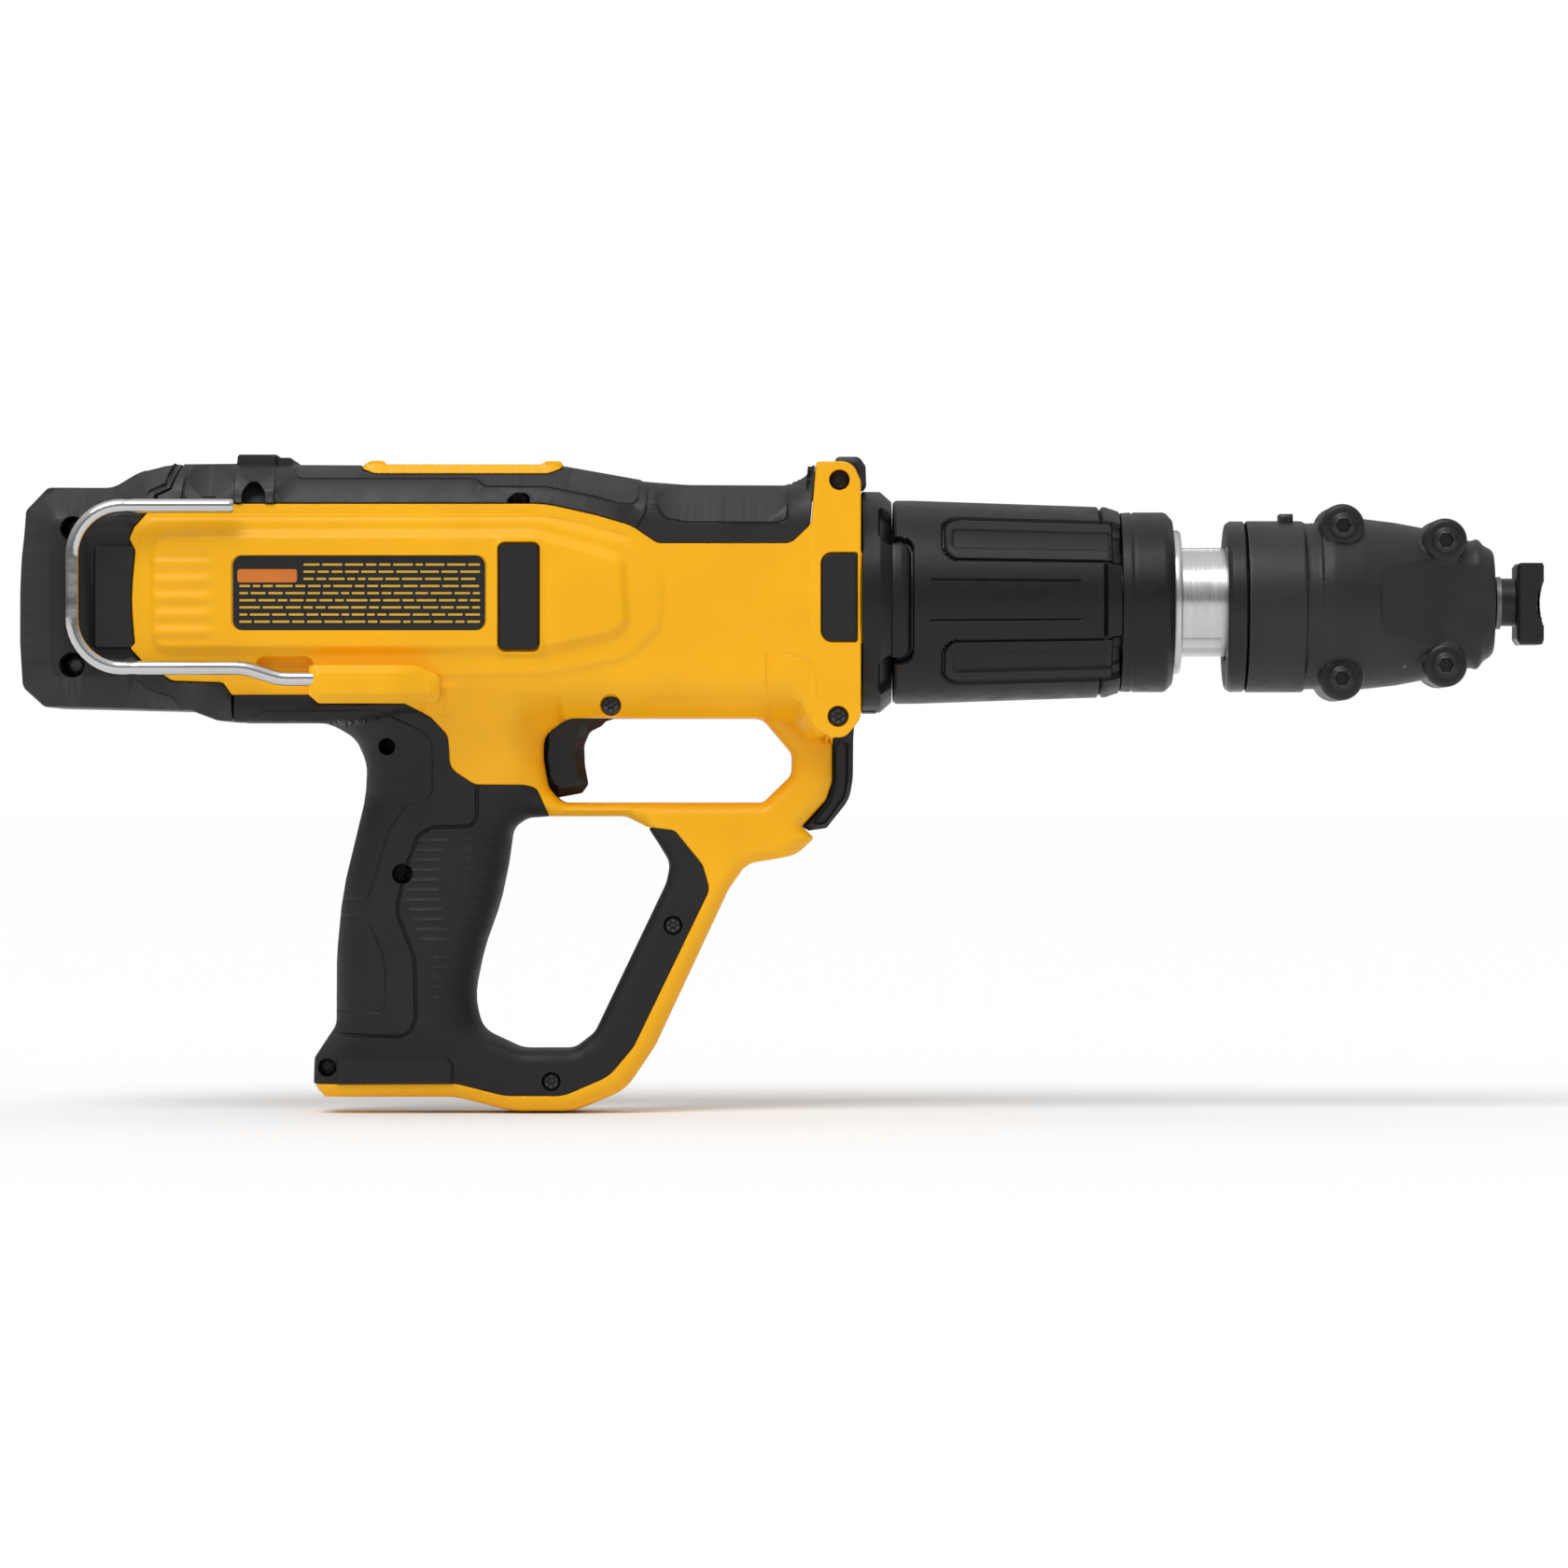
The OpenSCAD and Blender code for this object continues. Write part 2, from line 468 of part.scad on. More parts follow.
// ---------- nose ----------
module nose_ring() color(STL) tool() difference() {
  translate([0, 0, -1.35]) rod_x(-97.5, -91.2, nose_r);
  rod_x(-98, -90, barrel_r);
}
module nose_side_2d() polygon([[-91, 24.9], [-77, 24.9], [-75, 24.8], [-73, 26.9], [-68, 26.9],
  [-56.5, 25.8], [-45, 24.4], [-37, 22.8], [-24.5, 19.5], [-22.5, 18.7], [-19.8, 19.7],
  [-18.3, 17.5], [-16, 16.3], [-15.2, 5], [-15, -8], [-15.6, -16.5], [-17, -18],
  [-20, -20.8], [-22.5, -20], [-24.5, -21], [-36.5, -23.9], [-45, -25.6], [-56, -26.9],
  [-68, -27.8], [-91, -27.7]]);
module nose_half() difference() {
  intersection() {
    slab(-30, 0) nose_side_2d();
    translate([0, 0, -1.35]) turned() polygon([[0, -91], [26.35, -91], [26.35, -70],
      [28.2, -68], [28.2, -60], [20, -30], [17, -15], [0, -15]]);
  }
  rod_x(-92, -66, 12);
  rod_x(-67, -10, 9.02);
  // flat milled on the side, and the bolt seats
  block(-50, -14, -30, -19.6, -11.5, 11.5);
  for (p = nose_bolt_at()) {
    rod_y(p[0], p[1] * 0.86, -30, -13, 4.8);
    rod_y(p[0], p[1] * 0.86, -14, 1, 2.05);
  }
}
function nose_bolt_at() = [[-62.3, 20.6], [-30.7, 16.6], [-62.7, -22.4], [-30.7, -18.2]];
module nose_shell_right() color(DRK) tool() nose_half();
module nose_shell_left() color(DRK) tool() mirror([0, 1, 0]) nose_half();
module nose_bolts() color(STL) tool() for (p = nose_bolt_at()) {
  rod_y(p[0], p[1] * 0.86, -13, 11, 2);
  difference() {
    rod_y(p[0], p[1] * 0.86, -19, -13, 4.7);
    rod_y(p[0], p[1] * 0.86, -20, -15, 2.3, $fn = 6);
  }
}
module nose_tab() color(STL) tool() difference() {
  block(-80.7, -76.5, -6, 6, 22, 27);
  translate([0, 0, -1.35]) rod_x(-82, -75, 26.36);
}
// hardened guide that the fastener leaves by, with the serrated tip
module fastener_guide() color(STL) tool() difference() {
  union() {
    rod_x(-91.1, -67, 11.9);
    rod_x(-67.1, -15, 9);
    rod_x(-15.1, -8, 7.3);
    intersection() {
      turned() polygon([[0, -8.3], [12.5, -8.3], [13.1, -7.5], [13.1, -3.2], [11, 0], [0, 0]]);
      block(-9, 1, -9.6, 9.6, -13.1, 11.9);
    }
  }
  rod_x(-92, -prong - muzzle_len, 4.6);
  rod_x(-100, 2, muzzle_r);
  rod_x(-prong, 1, 8.6);
}
module guide_clip() color(STL) tool() difference() {
  rod_x(-14.2, -12.8, 8.3);
  rod_x(-15, -12, 7.3);
  block(-15, -12, -3, 3, 0, 10);
}

// ---------- hook, lever and latch ----------
module quarter_bend() intersection() {
  // a hair thinner than the straight lengths, and let into their ends
  rotate([90, 0, 0]) rotate_extrude() translate([hook_bend, 0]) circle(r = wire_r - 0.03);
  translate([-30, -5, -0.05]) cube([30.05, 10, 30.05]);
}
module hook() color(STL) tool() translate([0, -hook_y, 0]) {
  rod_x_at(-432.6, -399, wire_r, 28.2);
  translate([-432.6, 0, 28.2 - hook_bend]) quarter_bend();
  translate([-432.6 - hook_bend, 0, -20.7 + hook_bend])
    cylinder(h = 28.2 + 20.7 - 2 * hook_bend, r = wire_r);
  translate([-432.6, 0, -20.7 + hook_bend]) mirror([0, 0, 1]) quarter_bend();
  rod_x_at(-432.6, -395, wire_r, -20.7);
  translate([-395, 0, -20.7]) sphere(r = wire_r + 0.1);
  translate([-395, 0, -20.7]) rotate([0, 90 + atan(3.3 / 10), 0])
    cylinder(h = norm([10, 3.3]), r = wire_r);
  translate([-385, 0, -24]) sphere(r = wire_r + 0.1);
  rod_x_at(-385, -347, wire_r, -24);
}
module release_lever() color(BLK) tool() difference() {
  union() {
    slab(-10, 10) polygon([[-217.4, -41.6], [-220, -40.6], [-221.2, -36], [-219.6, -31.6],
      [-216.2, -30.2], [-212.8, -31.6], [-210.9, -35.3], [-211.4, -41.6], [-211.5, -55],
      [-212.3, -59], [-214, -62.5], [-219.5, -69.2], [-224, -70], [-225.2, -70.2],
      [-226.3, -69], [-226, -68.4], [-219.6, -61.4], [-217.7, -57.2]]);
  }
  rod_y(-216.2, -35.3, -12, 12, 2.55);
}
module lever_screw() color(STL) tool() {
  rod_y(-216.2, -35.3, -18, 18, 2.5);
  difference() {
    rod_y(-216.2, -35.3, -20.5, -18, 2.9);
    rod_y(-216.2, -35.3, -21, -19.2, 1.5, $fn = 6);
  }
}
module collar_latch() color(BLK) tool() difference() {
  slab(-9, 9) polygon([[-217.2, 42.3], [-216.5, 44.2], [-210, 44], [-207.8, 41.5],
    [-207.5, 35.5], [-208.5, 34.4], [-211.2, 34.6], [-212.6, 33.4], [-216, 32.8],
    [-219.2, 35], [-219, 39]]);
  rod_y(-215.8, 36.4, -10, 10, 2.05);
}
module latch_pin() color(STL) tool() rod_y(-215.8, 36.4, -12.9, 12.9, 2);

housing_right();
housing_left();
top_cover();
port_rim();
rear_cap();
grip_right();
grip_left();
side_pad_right();
side_pad_left();
front_pad_right();
front_pad_left();
data_plate();
housing_screws();
rear_cap_screws();
strip_guide();
breech_block();
striker_tube();
striker_plug();
striker();
striker_spring();
sear();
sear_pin();
trigger();
trigger_pin();
trigger_spring();
trigger_bar();
feed_pawl();
feed_pawl_pin();
barrel();
barrel_stop_ring();
front_bush();
rear_bush();
piston();
piston_rings();
buffer();
return_spring();
collar();
sleeve();
end_ring();
wiper_ring();
nose_ring();
nose_shell_right();
nose_shell_left();
nose_bolts();
nose_tab();
fastener_guide();
guide_clip();
hook();
release_lever();
lever_screw();
collar_latch();
latch_pin();
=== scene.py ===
# %% [markdown]
# A powder-actuated nail gun in Blender. The mechanism comes in as the fixed CAD frame. The
# shells, rubber and castings that a person sees are built here, in millimetres along the
# bore, and turned to metres at the end. +X is the muzzle, +Z is up, -Y is the hook's side.

# %% Load the frame and keep its box
import math
import bpy
import numpy as np
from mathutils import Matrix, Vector
from mathutils.geometry import delaunay_2d_cdt


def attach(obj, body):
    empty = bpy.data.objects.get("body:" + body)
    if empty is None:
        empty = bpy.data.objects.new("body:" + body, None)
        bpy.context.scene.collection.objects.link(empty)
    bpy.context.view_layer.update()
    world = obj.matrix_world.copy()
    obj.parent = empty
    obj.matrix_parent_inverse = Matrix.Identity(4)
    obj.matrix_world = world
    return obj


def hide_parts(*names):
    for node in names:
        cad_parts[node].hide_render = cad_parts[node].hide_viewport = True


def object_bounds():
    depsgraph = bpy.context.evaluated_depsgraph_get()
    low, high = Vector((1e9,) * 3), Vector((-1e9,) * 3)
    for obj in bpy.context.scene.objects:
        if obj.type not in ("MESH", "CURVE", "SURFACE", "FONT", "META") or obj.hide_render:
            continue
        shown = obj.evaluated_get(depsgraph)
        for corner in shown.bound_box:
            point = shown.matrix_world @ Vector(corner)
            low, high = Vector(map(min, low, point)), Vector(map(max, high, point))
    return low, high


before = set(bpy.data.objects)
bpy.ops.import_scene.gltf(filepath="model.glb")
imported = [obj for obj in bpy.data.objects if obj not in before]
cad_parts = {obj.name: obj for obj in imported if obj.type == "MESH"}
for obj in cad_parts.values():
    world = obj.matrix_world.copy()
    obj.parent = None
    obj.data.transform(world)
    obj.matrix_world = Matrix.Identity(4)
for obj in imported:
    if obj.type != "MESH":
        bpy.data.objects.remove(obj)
cad_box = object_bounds()
MM = 0.001
PRONG = 1.3          # the tip stands this far out of the bore's mouth, where x is 0
print("CAD nodes:", len(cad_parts))

# %% [markdown]
# Every finish is a small node network. Moulded plastic has a fine grain from the tool it was
# moulded in, so its bump comes from a noise a third of a millimetre across, and its colour
# and gloss drift a little over centimetres. Constants sit on the shader's own sockets.


# %% A finish with drift in colour and gloss, and a fine grain
def finish(name, colour, rough, metal=0.0, grain=3000.0, depth=0.00002, drift=0.06,
           rough_drift=0.06, stretch=(1, 1, 1), coat=0.0, wear=None, shine=0.38):
    mat = bpy.data.materials.new(name)
    mat.use_nodes = True
    nodes, links = mat.node_tree.nodes, mat.node_tree.links
    shader = nodes["Principled BSDF"]
    shader.inputs["Metallic"].default_value = metal
    shader.inputs["Specular IOR Level"].default_value = 0.5 if metal > 0.5 else shine
    shader.inputs["Coat Weight"].default_value = coat
    shader.inputs["Coat Roughness"].default_value = 0.25
    where = nodes.new("ShaderNodeTexCoord")
    turn = nodes.new("ShaderNodeMapping")
    turn.inputs["Scale"].default_value = stretch
    links.new(where.outputs["Object"], turn.inputs["Vector"])

    def noise(scale, detail=2.0):
        n = nodes.new("ShaderNodeTexNoise")
        n.inputs["Scale"].default_value = scale
        n.inputs["Detail"].default_value = detail
        links.new(turn.outputs["Vector"], n.inputs["Vector"])
        return n.outputs["Fac"]

    def spread(value, low, high):
        m = nodes.new("ShaderNodeMapRange")
        m.inputs["From Min"].default_value = 0.3
        m.inputs["From Max"].default_value = 0.7
        m.inputs["To Min"].default_value = low
        m.inputs["To Max"].default_value = high
        links.new(value, m.inputs["Value"])
        return m.outputs["Result"]

    tint = nodes.new("ShaderNodeMix")
    tint.data_type = "RGBA"
    tint.inputs[6].default_value = (*[c * (1 - drift) for c in colour], 1)
    tint.inputs[7].default_value = (*[min(1, c * (1 + drift)) for c in colour], 1)
    links.new(spread(noise(45), 0, 1), tint.inputs[0])
    links.new(tint.outputs[2], shader.inputs["Base Color"])
    links.new(spread(noise(180), rough - rough_drift, rough + rough_drift),
              shader.inputs["Roughness"])
    bump = nodes.new("ShaderNodeBump")
    bump.inputs["Strength"].default_value = 1.0
    bump.inputs["Distance"].default_value = depth
    links.new(noise(grain, 3.0), bump.inputs["Height"])
    links.new(bump.outputs["Normal"], shader.inputs["Normal"])
    if wear:
        edge = nodes.new("ShaderNodeNewGeometry")
        rub = nodes.new("ShaderNodeMapRange")
        rub.inputs["From Min"].default_value = 0.53
        rub.inputs["From Max"].default_value = 0.60
        links.new(edge.outputs["Pointiness"], rub.inputs["Value"])
        worn = nodes.new("ShaderNodeMix")
        worn.data_type = "RGBA"
        worn.inputs[7].default_value = (*wear, 1)
        links.new(rub.outputs["Result"], worn.inputs[0])
        links.new(tint.outputs[2], worn.inputs[6])
        links.new(worn.outputs[2], shader.inputs["Base Color"])
    return mat


# %% The finishes of this tool
YELLOW_NYLON = finish("yellow_nylon", (0.92, 0.445, 0.002), 0.42, depth=0.000022, drift=0.035,
                      coat=0.03, shine=0.30)
BLACK_NYLON = finish("black_nylon", (0.014, 0.014, 0.015), 0.46, grain=2600, depth=0.00004,
                     drift=0.10, wear=(0.04, 0.04, 0.042), shine=0.34)
GRIP_RUBBER = finish("grip_rubber", (0.010, 0.010, 0.011), 0.56, grain=2200, depth=0.00005,
                     drift=0.12, rough_drift=0.05, shine=0.34)
SLEEVE_NYLON = finish("sleeve_nylon", (0.006, 0.006, 0.0065), 0.40, grain=2400, depth=0.00004,
                      drift=0.10, shine=0.30)
TRIGGER_GLOSS = finish("trigger_black", (0.012, 0.012, 0.013), 0.34, grain=1800, depth=0.00001,
                       drift=0.10, rough_drift=0.04)
SATIN_STEEL = finish("turned_steel", (0.56, 0.56, 0.57), 0.26, metal=1.0, grain=900,
                     depth=0.000006, stretch=(6, 0.35, 0.35), drift=0.05)
CAST_NOSE = finish("nose_casting", (0.020, 0.020, 0.021), 0.44, metal=0.2, grain=1500,
                   depth=0.00003, drift=0.15, wear=(0.10, 0.10, 0.10))
CHROMED_WIRE = finish("chromed_wire", (0.56, 0.56, 0.57), 0.13, metal=1.0, grain=500,
                      depth=0.00002, rough_drift=0.08, stretch=(0.3, 1, 1))
BLACK_OXIDE = finish("black_oxide", (0.028, 0.028, 0.030), 0.38, metal=0.7, grain=1600,
                     depth=0.00001, wear=(0.16, 0.16, 0.16))
SPRING_WIRE = finish("spring_wire", (0.42, 0.42, 0.44), 0.3, metal=1.0, grain=700,
                     depth=0.000008)
PLATE_FILM = finish("plate_film", (0.008, 0.008, 0.009), 0.36, grain=1200, depth=0.000004,
                    coat=0.1)
PLATE_INK = finish("plate_ink", (0.62, 0.36, 0.03), 0.45, grain=1500, depth=0.000004)
PLATE_FLAG = finish("plate_flag", (0.62, 0.17, 0.02), 0.45, grain=1500, depth=0.000004)
BOLT_STEEL = finish("bolt_steel", (0.022, 0.022, 0.023), 0.36, metal=0.5, grain=1500,
                    depth=0.00002, wear=(0.06, 0.06, 0.06))
print("finishes:", len(bpy.data.materials))

# %% [markdown]
# The metal and plastic parts inside keep their CAD shape, which is right already, and only
# take a finish. Each is picked by the kind of part it is.

# %% Finishes for the parts that stay as they are
INSIDE = {
    "strip_guide": BLACK_OXIDE, "breech_block": SATIN_STEEL, "striker_tube": SATIN_STEEL,
    "striker_plug": SATIN_STEEL, "striker": SATIN_STEEL, "striker_spring": SPRING_WIRE,
    "sear": BLACK_OXIDE, "sear_pin": SATIN_STEEL, "trigger_spring": SPRING_WIRE,
    "trigger_bar": BLACK_OXIDE, "feed_pawl": BLACK_OXIDE, "feed_pawl_pin": SATIN_STEEL,
    "barrel": SATIN_STEEL, "barrel_stop_ring": BLACK_OXIDE, "front_bush": BLACK_OXIDE,
    "rear_bush": BLACK_OXIDE, "piston": SATIN_STEEL, "piston_rings": BLACK_OXIDE,
    "buffer": GRIP_RUBBER, "return_spring": SPRING_WIRE,
    "guide_clip": BLACK_OXIDE,
}
for node_name, mat in INSIDE.items():
    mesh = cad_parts[node_name].data
    mesh.materials.clear()
    mesh.materials.append(mat)
print("kept CAD nodes:", len(INSIDE))

# %% [markdown]
# The body is a set of moulded shells. Seen from the side each one is an outline, and its
# half width is a height over that outline: flat in the middle, rounded at the edges, with
# steps, panel lines and recesses. So each shell is a triangulated outline whose points are
# lifted sideways. This keeps every seam exact and lets two neighbours share one surface.


# %% Outlines with rounded corners
def rounded(points, radius=1.5):
    pts = [tuple(p) for p in points]
    out = []
    for i, p in enumerate(pts):
        here = np.array(p[:2], float)
        r = p[2] if len(p) > 2 else radius
        back = np.array(pts[i - 1][:2], float) - here
        ahead = np.array(pts[(i + 1) % len(pts)][:2], float) - here
        lb, la = np.linalg.norm(back), np.linalg.norm(ahead)
        back, ahead = back / lb, ahead / la
        half = 0.5 * math.acos(max(-1, min(1, float(back @ ahead))))
        bent = 0.01 < half < 1.56
        reach = min(r / math.tan(half), 0.49 * lb, 0.49 * la) if bent else 0
        if reach < 0.02:
            out.append(here)
            continue
        r = reach * math.tan(half)
        mid = back + ahead
        centre = here + mid / np.linalg.norm(mid) * math.hypot(r, reach)
        a = here + back * reach - centre
        b = here + ahead * reach - centre
        sweep = math.pi - 2 * half
        turn = 1 if a[0] * b[1] - a[1] * b[0] > 0 else -1
        count = max(1, math.ceil(sweep / 0.16))
        for k in range(count + 1):
            t = turn * sweep * k / count
            out.append(centre + (a[0] * math.cos(t) - a[1] * math.sin(t),
                                 a[0] * math.sin(t) + a[1] * math.cos(t)))
    return np.array(out)


def walk(line, step, closed=True):
    """The same line with no gap longer than step."""
    ends = np.roll(line, -1, 0) if closed else line[1:]
    out = []
    for a, b in zip(line, ends):
        n = max(1, math.ceil(np.linalg.norm(b - a) / step))
        out += [a + (b - a) * k / n for k in range(n)]
    if not closed:
        out.append(line[-1])
    out = np.array(out)
    keep = np.ones(len(out), bool)
    keep[1:] = np.linalg.norm(np.diff(out, axis=0), axis=1) > 0.05
    if closed and np.linalg.norm(out[0] - out[-1]) < 0.05:
        keep[-1] = False
    return out[keep]


def turning(line):
    """Twice the signed area: positive when the line runs anticlockwise."""
    x, z = line[:, 0], line[:, 1]
    return float(np.sum(x * np.roll(z, -1) - np.roll(x, -1) * z))


# %% Distance to a line, and to the inside of an outline
def gap_to(p, line, closed=True, reach=None):
    """Distance to the line. Points further than reach from its box are not measured."""
    if reach is not None:
        out = np.full(len(p), reach + 1.0)
        near = np.all((p > line.min(0) - reach) & (p < line.max(0) + reach), 1)
        if near.any():
            out[near] = gap_to(p[near], line, closed)
        return out
    a = line if closed else line[:-1]
    b = np.roll(line, -1, 0) if closed else line[1:]
    best = np.full(len(p), 1e9)
    for lo in range(0, len(p), 4096):
        q = p[lo:lo + 4096, None, :]
        ab = b - a
        t = np.clip(np.sum((q - a) * ab, 2) / np.maximum(np.sum(ab * ab, 1), 1e-9), 0, 1)
        d = q - a - t[..., None] * ab
        best[lo:lo + 4096] = np.sqrt(np.min(np.sum(d * d, 2), 1))
    return best


def depth_in(p, outline, reach=None):
    """Distance to the outline, positive inside."""
    if reach is not None:
        out = np.full(len(p), -reach - 1.0)
        near = np.all((p > outline.min(0) - reach) & (p < outline.max(0) + reach), 1)
        if near.any():
            out[near] = depth_in(p[near], outline)
        return out
    a, b = outline, np.roll(outline, -1, 0)
    inside = np.zeros(len(p), bool)
    for (ax, az), (bx, bz) in zip(a, b):
        if az == bz:
            continue
        cut = ((p[:, 1] < az) != (p[:, 1] < bz))
        inside ^= cut & (p[:, 0] < ax + (p[:, 1] - az) * (bx - ax) / (bz - az))
    return np.where(inside, 1, -1) * gap_to(p, outline)


def ease(t):
    t = np.clip(t, 0, 1)
    return t * t * (3 - 2 * t)


def drop(depth, radius):
    """How far a rounded edge has fallen at this depth in from it."""
    k = radius - np.clip(depth, 0, radius)
    return radius - np.sqrt(np.maximum(radius * radius - k * k, 0))


def soft_max(a, b, k):
    h = np.clip(0.5 + 0.5 * (a - b) / k, 0, 1)
    return b + (a - b) * h + k * h * (1 - h)


def edge_rows(radius, n):
    """Depths at which a rounded edge of this radius needs a row of points."""
    return [radius * (1 - math.cos(math.pi / 2 * k / n)) for k in range(1, n + 1)]


# %% Points over an outline, denser along its edges and lines
def scatter(loops, rows, step, area):
    """loops bound the area; rows is a list of (line, closed, offsets to follow)."""
    bound = np.vstack(loops)
    extra = []
    for source, closed, offsets in rows:
        line = walk(source, step, closed)
        t = np.roll(line, -1, 0) - np.roll(line, 1, 0)
        if not closed:
            t[0], t[-1] = line[1] - line[0], line[-1] - line[-2]
        n = np.stack([-t[:, 1], t[:, 0]], 1)
        n /= np.maximum(np.linalg.norm(n, axis=1), 1e-9)[:, None]
        for off in offsets:
            q = line + n * off
            q = q[area(q) > 0.1]
            if len(q):
                extra.append(q[gap_to(q, source, closed) > 0.93 * abs(off) - 1e-6])
    lo, hi = bound.min(0), bound.max(0)
    gx, gz = np.meshgrid(np.arange(lo[0], hi[0], step), np.arange(lo[1], hi[1], step * 0.866))
    gx[1::2] += step / 2
    grid = np.stack([gx.ravel(), gz.ravel()], 1)
    grid = grid[area(grid) > step * 0.4]
    for line, closed, offsets in rows:
        room = max(abs(o) for o in offsets) + step * 0.3
        grid = grid[gap_to(grid, line, closed, room + 0.1) > room]
    points = np.vstack([bound] + extra + [grid])
    cell = np.round(points / 0.16).astype(np.int64)
    _, first = np.unique(cell[:, 0] * 1000003 + cell[:, 1], return_index=True)
    first = first[first >= len(bound)]
    return np.vstack([bound, points[np.sort(first)]])


def depth_in_all(loops):
    def area(p):
        d = depth_in(p, loops[0])
        for hole in loops[1:]:
            d = np.minimum(d, -depth_in(p, hole))
        return d
    return area


# %% Turn points and faces into a piece that rides on a body
def piece(name, verts, faces, mat, body, node, slot, smooth=40.0, fresh=False):
    mesh = bpy.data.meshes.new(name)
    flat = [(float(v[0] + PRONG) * MM, float(v[1]) * MM, float(v[2]) * MM) for v in verts]
    mesh.from_pydata(flat, [], [tuple(int(i) for i in f) for f in faces])
    mesh.validate()
    mesh.materials.append(mat)
    obj = bpy.data.objects.new(name, mesh)
    bpy.context.scene.collection.objects.link(obj)
    mesh.shade_smooth()
    mesh.set_sharp_from_angle(angle=math.radians(smooth))
    if not fresh:
        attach(obj, body)
        if node:
            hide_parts(*([node] if isinstance(node, str) else node))
        print(f"{name}: {len(mesh.vertices)} points, {len(mesh.polygons)} faces")
    return obj


def bake_modifiers(obj):
    """Applies the modifiers to the mesh itself."""
    shape = bpy.data.meshes.new_from_object(
        obj.evaluated_get(bpy.context.evaluated_depsgraph_get()))
    obj.modifiers.clear()
    old = obj.data
    obj.data = shape
    bpy.data.meshes.remove(old)
    return obj


# %% Triangles between scattered points
def triangles(pts, border, area):
    """Delaunay triangles inside the area, wound one way, and where each point went."""
    got = delaunay_2d_cdt([Vector(p) for p in pts], border, [], 0, 1e-5)
    flat = np.array([tuple(v) for v in got[0]])
    tri = np.array([f for f in got[2] if len(f) == 3])
    tri = tri[area(flat[tri].mean(1)) > 0]
    d1, d2 = flat[tri[:, 1]] - flat[tri[:, 0]], flat[tri[:, 2]] - flat[tri[:, 0]]
    cross = d1[:, 0] * d2[:, 1] - d1[:, 1] * d2[:, 0]
    tri, cross = tri[np.abs(cross) > 1e-7], cross[np.abs(cross) > 1e-7]
    tri[cross < 0] = tri[cross < 0][:, ::-1]
    return flat, tri, {old: new for new, olds in enumerate(got[3]) for old in olds}


# %% The relief builder
def relief(loops, height, rows=(), step=1.0, inner=lambda p: 0.06 + 0 * p[:, 0], edge=0.45,
           wall_rows=5):
    """Points and faces of one side (y below 0) of a shell: its face and its rim."""
    plain = [l if (turning(l) > 0) == (i == 0) else l[::-1] for i, l in enumerate(loops)]
    area = depth_in_all(plain)
    loops = [walk(l, step * 0.7) for l in plain]
    rows = list(rows) + [(l, True, edge_rows(edge, 3)) for l in plain]
    pts = scatter(loops, rows, step, area)
    border = []
    start = 0
    for l in loops:
        ring = list(range(start, start + len(l)))
        border += list(zip(ring, ring[1:] + ring[:1]))
        start += len(l)
    flat, tri, place = triangles(pts, border, area)
    y = height(flat) - drop(np.maximum(area(flat), 0), edge)
    verts = [(p[0], -h, p[1]) for p, h in zip(flat, y)]
    faces = [tuple(t) for t in tri]
    start = 0
    for l in loops:
        top = [place[start + k] for k in range(len(l))]
        start += len(l)
        stop = np.maximum(inner(flat[top]), 0)
        rings = [top]
        for k in range(1, wall_rows + 1):
            row = []
            for j, t in enumerate(top):
                low = min(stop[j], y[t] - 0.3)
                yy = y[t] + (low - y[t]) * k / wall_rows
                verts.append((flat[t][0], -yy, flat[t][1]))
                row.append(len(verts) - 1)
            rings.append(row)
        for up, down in zip(rings, rings[1:]):
            for j in range(len(l)):
                n = (j + 1) % len(l)
                faces.append((up[j], down[j], down[n], up[n]))
    return verts, faces


def mirrored(verts, faces):
    return [(v[0], -v[1], v[2]) for v in verts], [f[::-1] for f in faces]


def ring_faces(rings, around):
    """Quads between closed rings of points, and a cap over each end."""
    faces = [tuple(range(around)), tuple((rings - 1) * around + j for j in range(around))[::-1]]
    for k in range(rings - 1):
        for j in range(around):
            n = (j + 1) % around
            faces.append((k * around + j, (k + 1) * around + j, (k + 1) * around + n,
                          k * around + n))
    return faces


def joined(*shapes):
    verts, faces = [], []
    for v, f in shapes:
        base = len(verts)
        verts += list(v)
        faces += [tuple(i + base for i in g) for g in f]
    return verts, faces


def shell(name, shape, mat, body, node, slot, thick=2.4):
    """Gives an open relief its wall thickness, with a rim along the parting line."""
    obj = piece(name, *shape, mat, body, node, slot, fresh=True)
    solid = obj.modifiers.new("wall", "SOLIDIFY")
    solid.thickness = thick * MM
    solid.offset = -1
    bake_modifiers(obj)
    obj.data.set_sharp_from_angle(angle=math.radians(40))
    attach(obj, body)
    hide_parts(node)
    print(f"{name}: {len(obj.data.vertices)} points")
    return obj


# %% [markdown]
# The three silhouettes: the body from the cap to the collar, and the handle frame with its
# two openings. All shells take their width from these, so the surface runs on from one
# piece to the next and only the seams show.

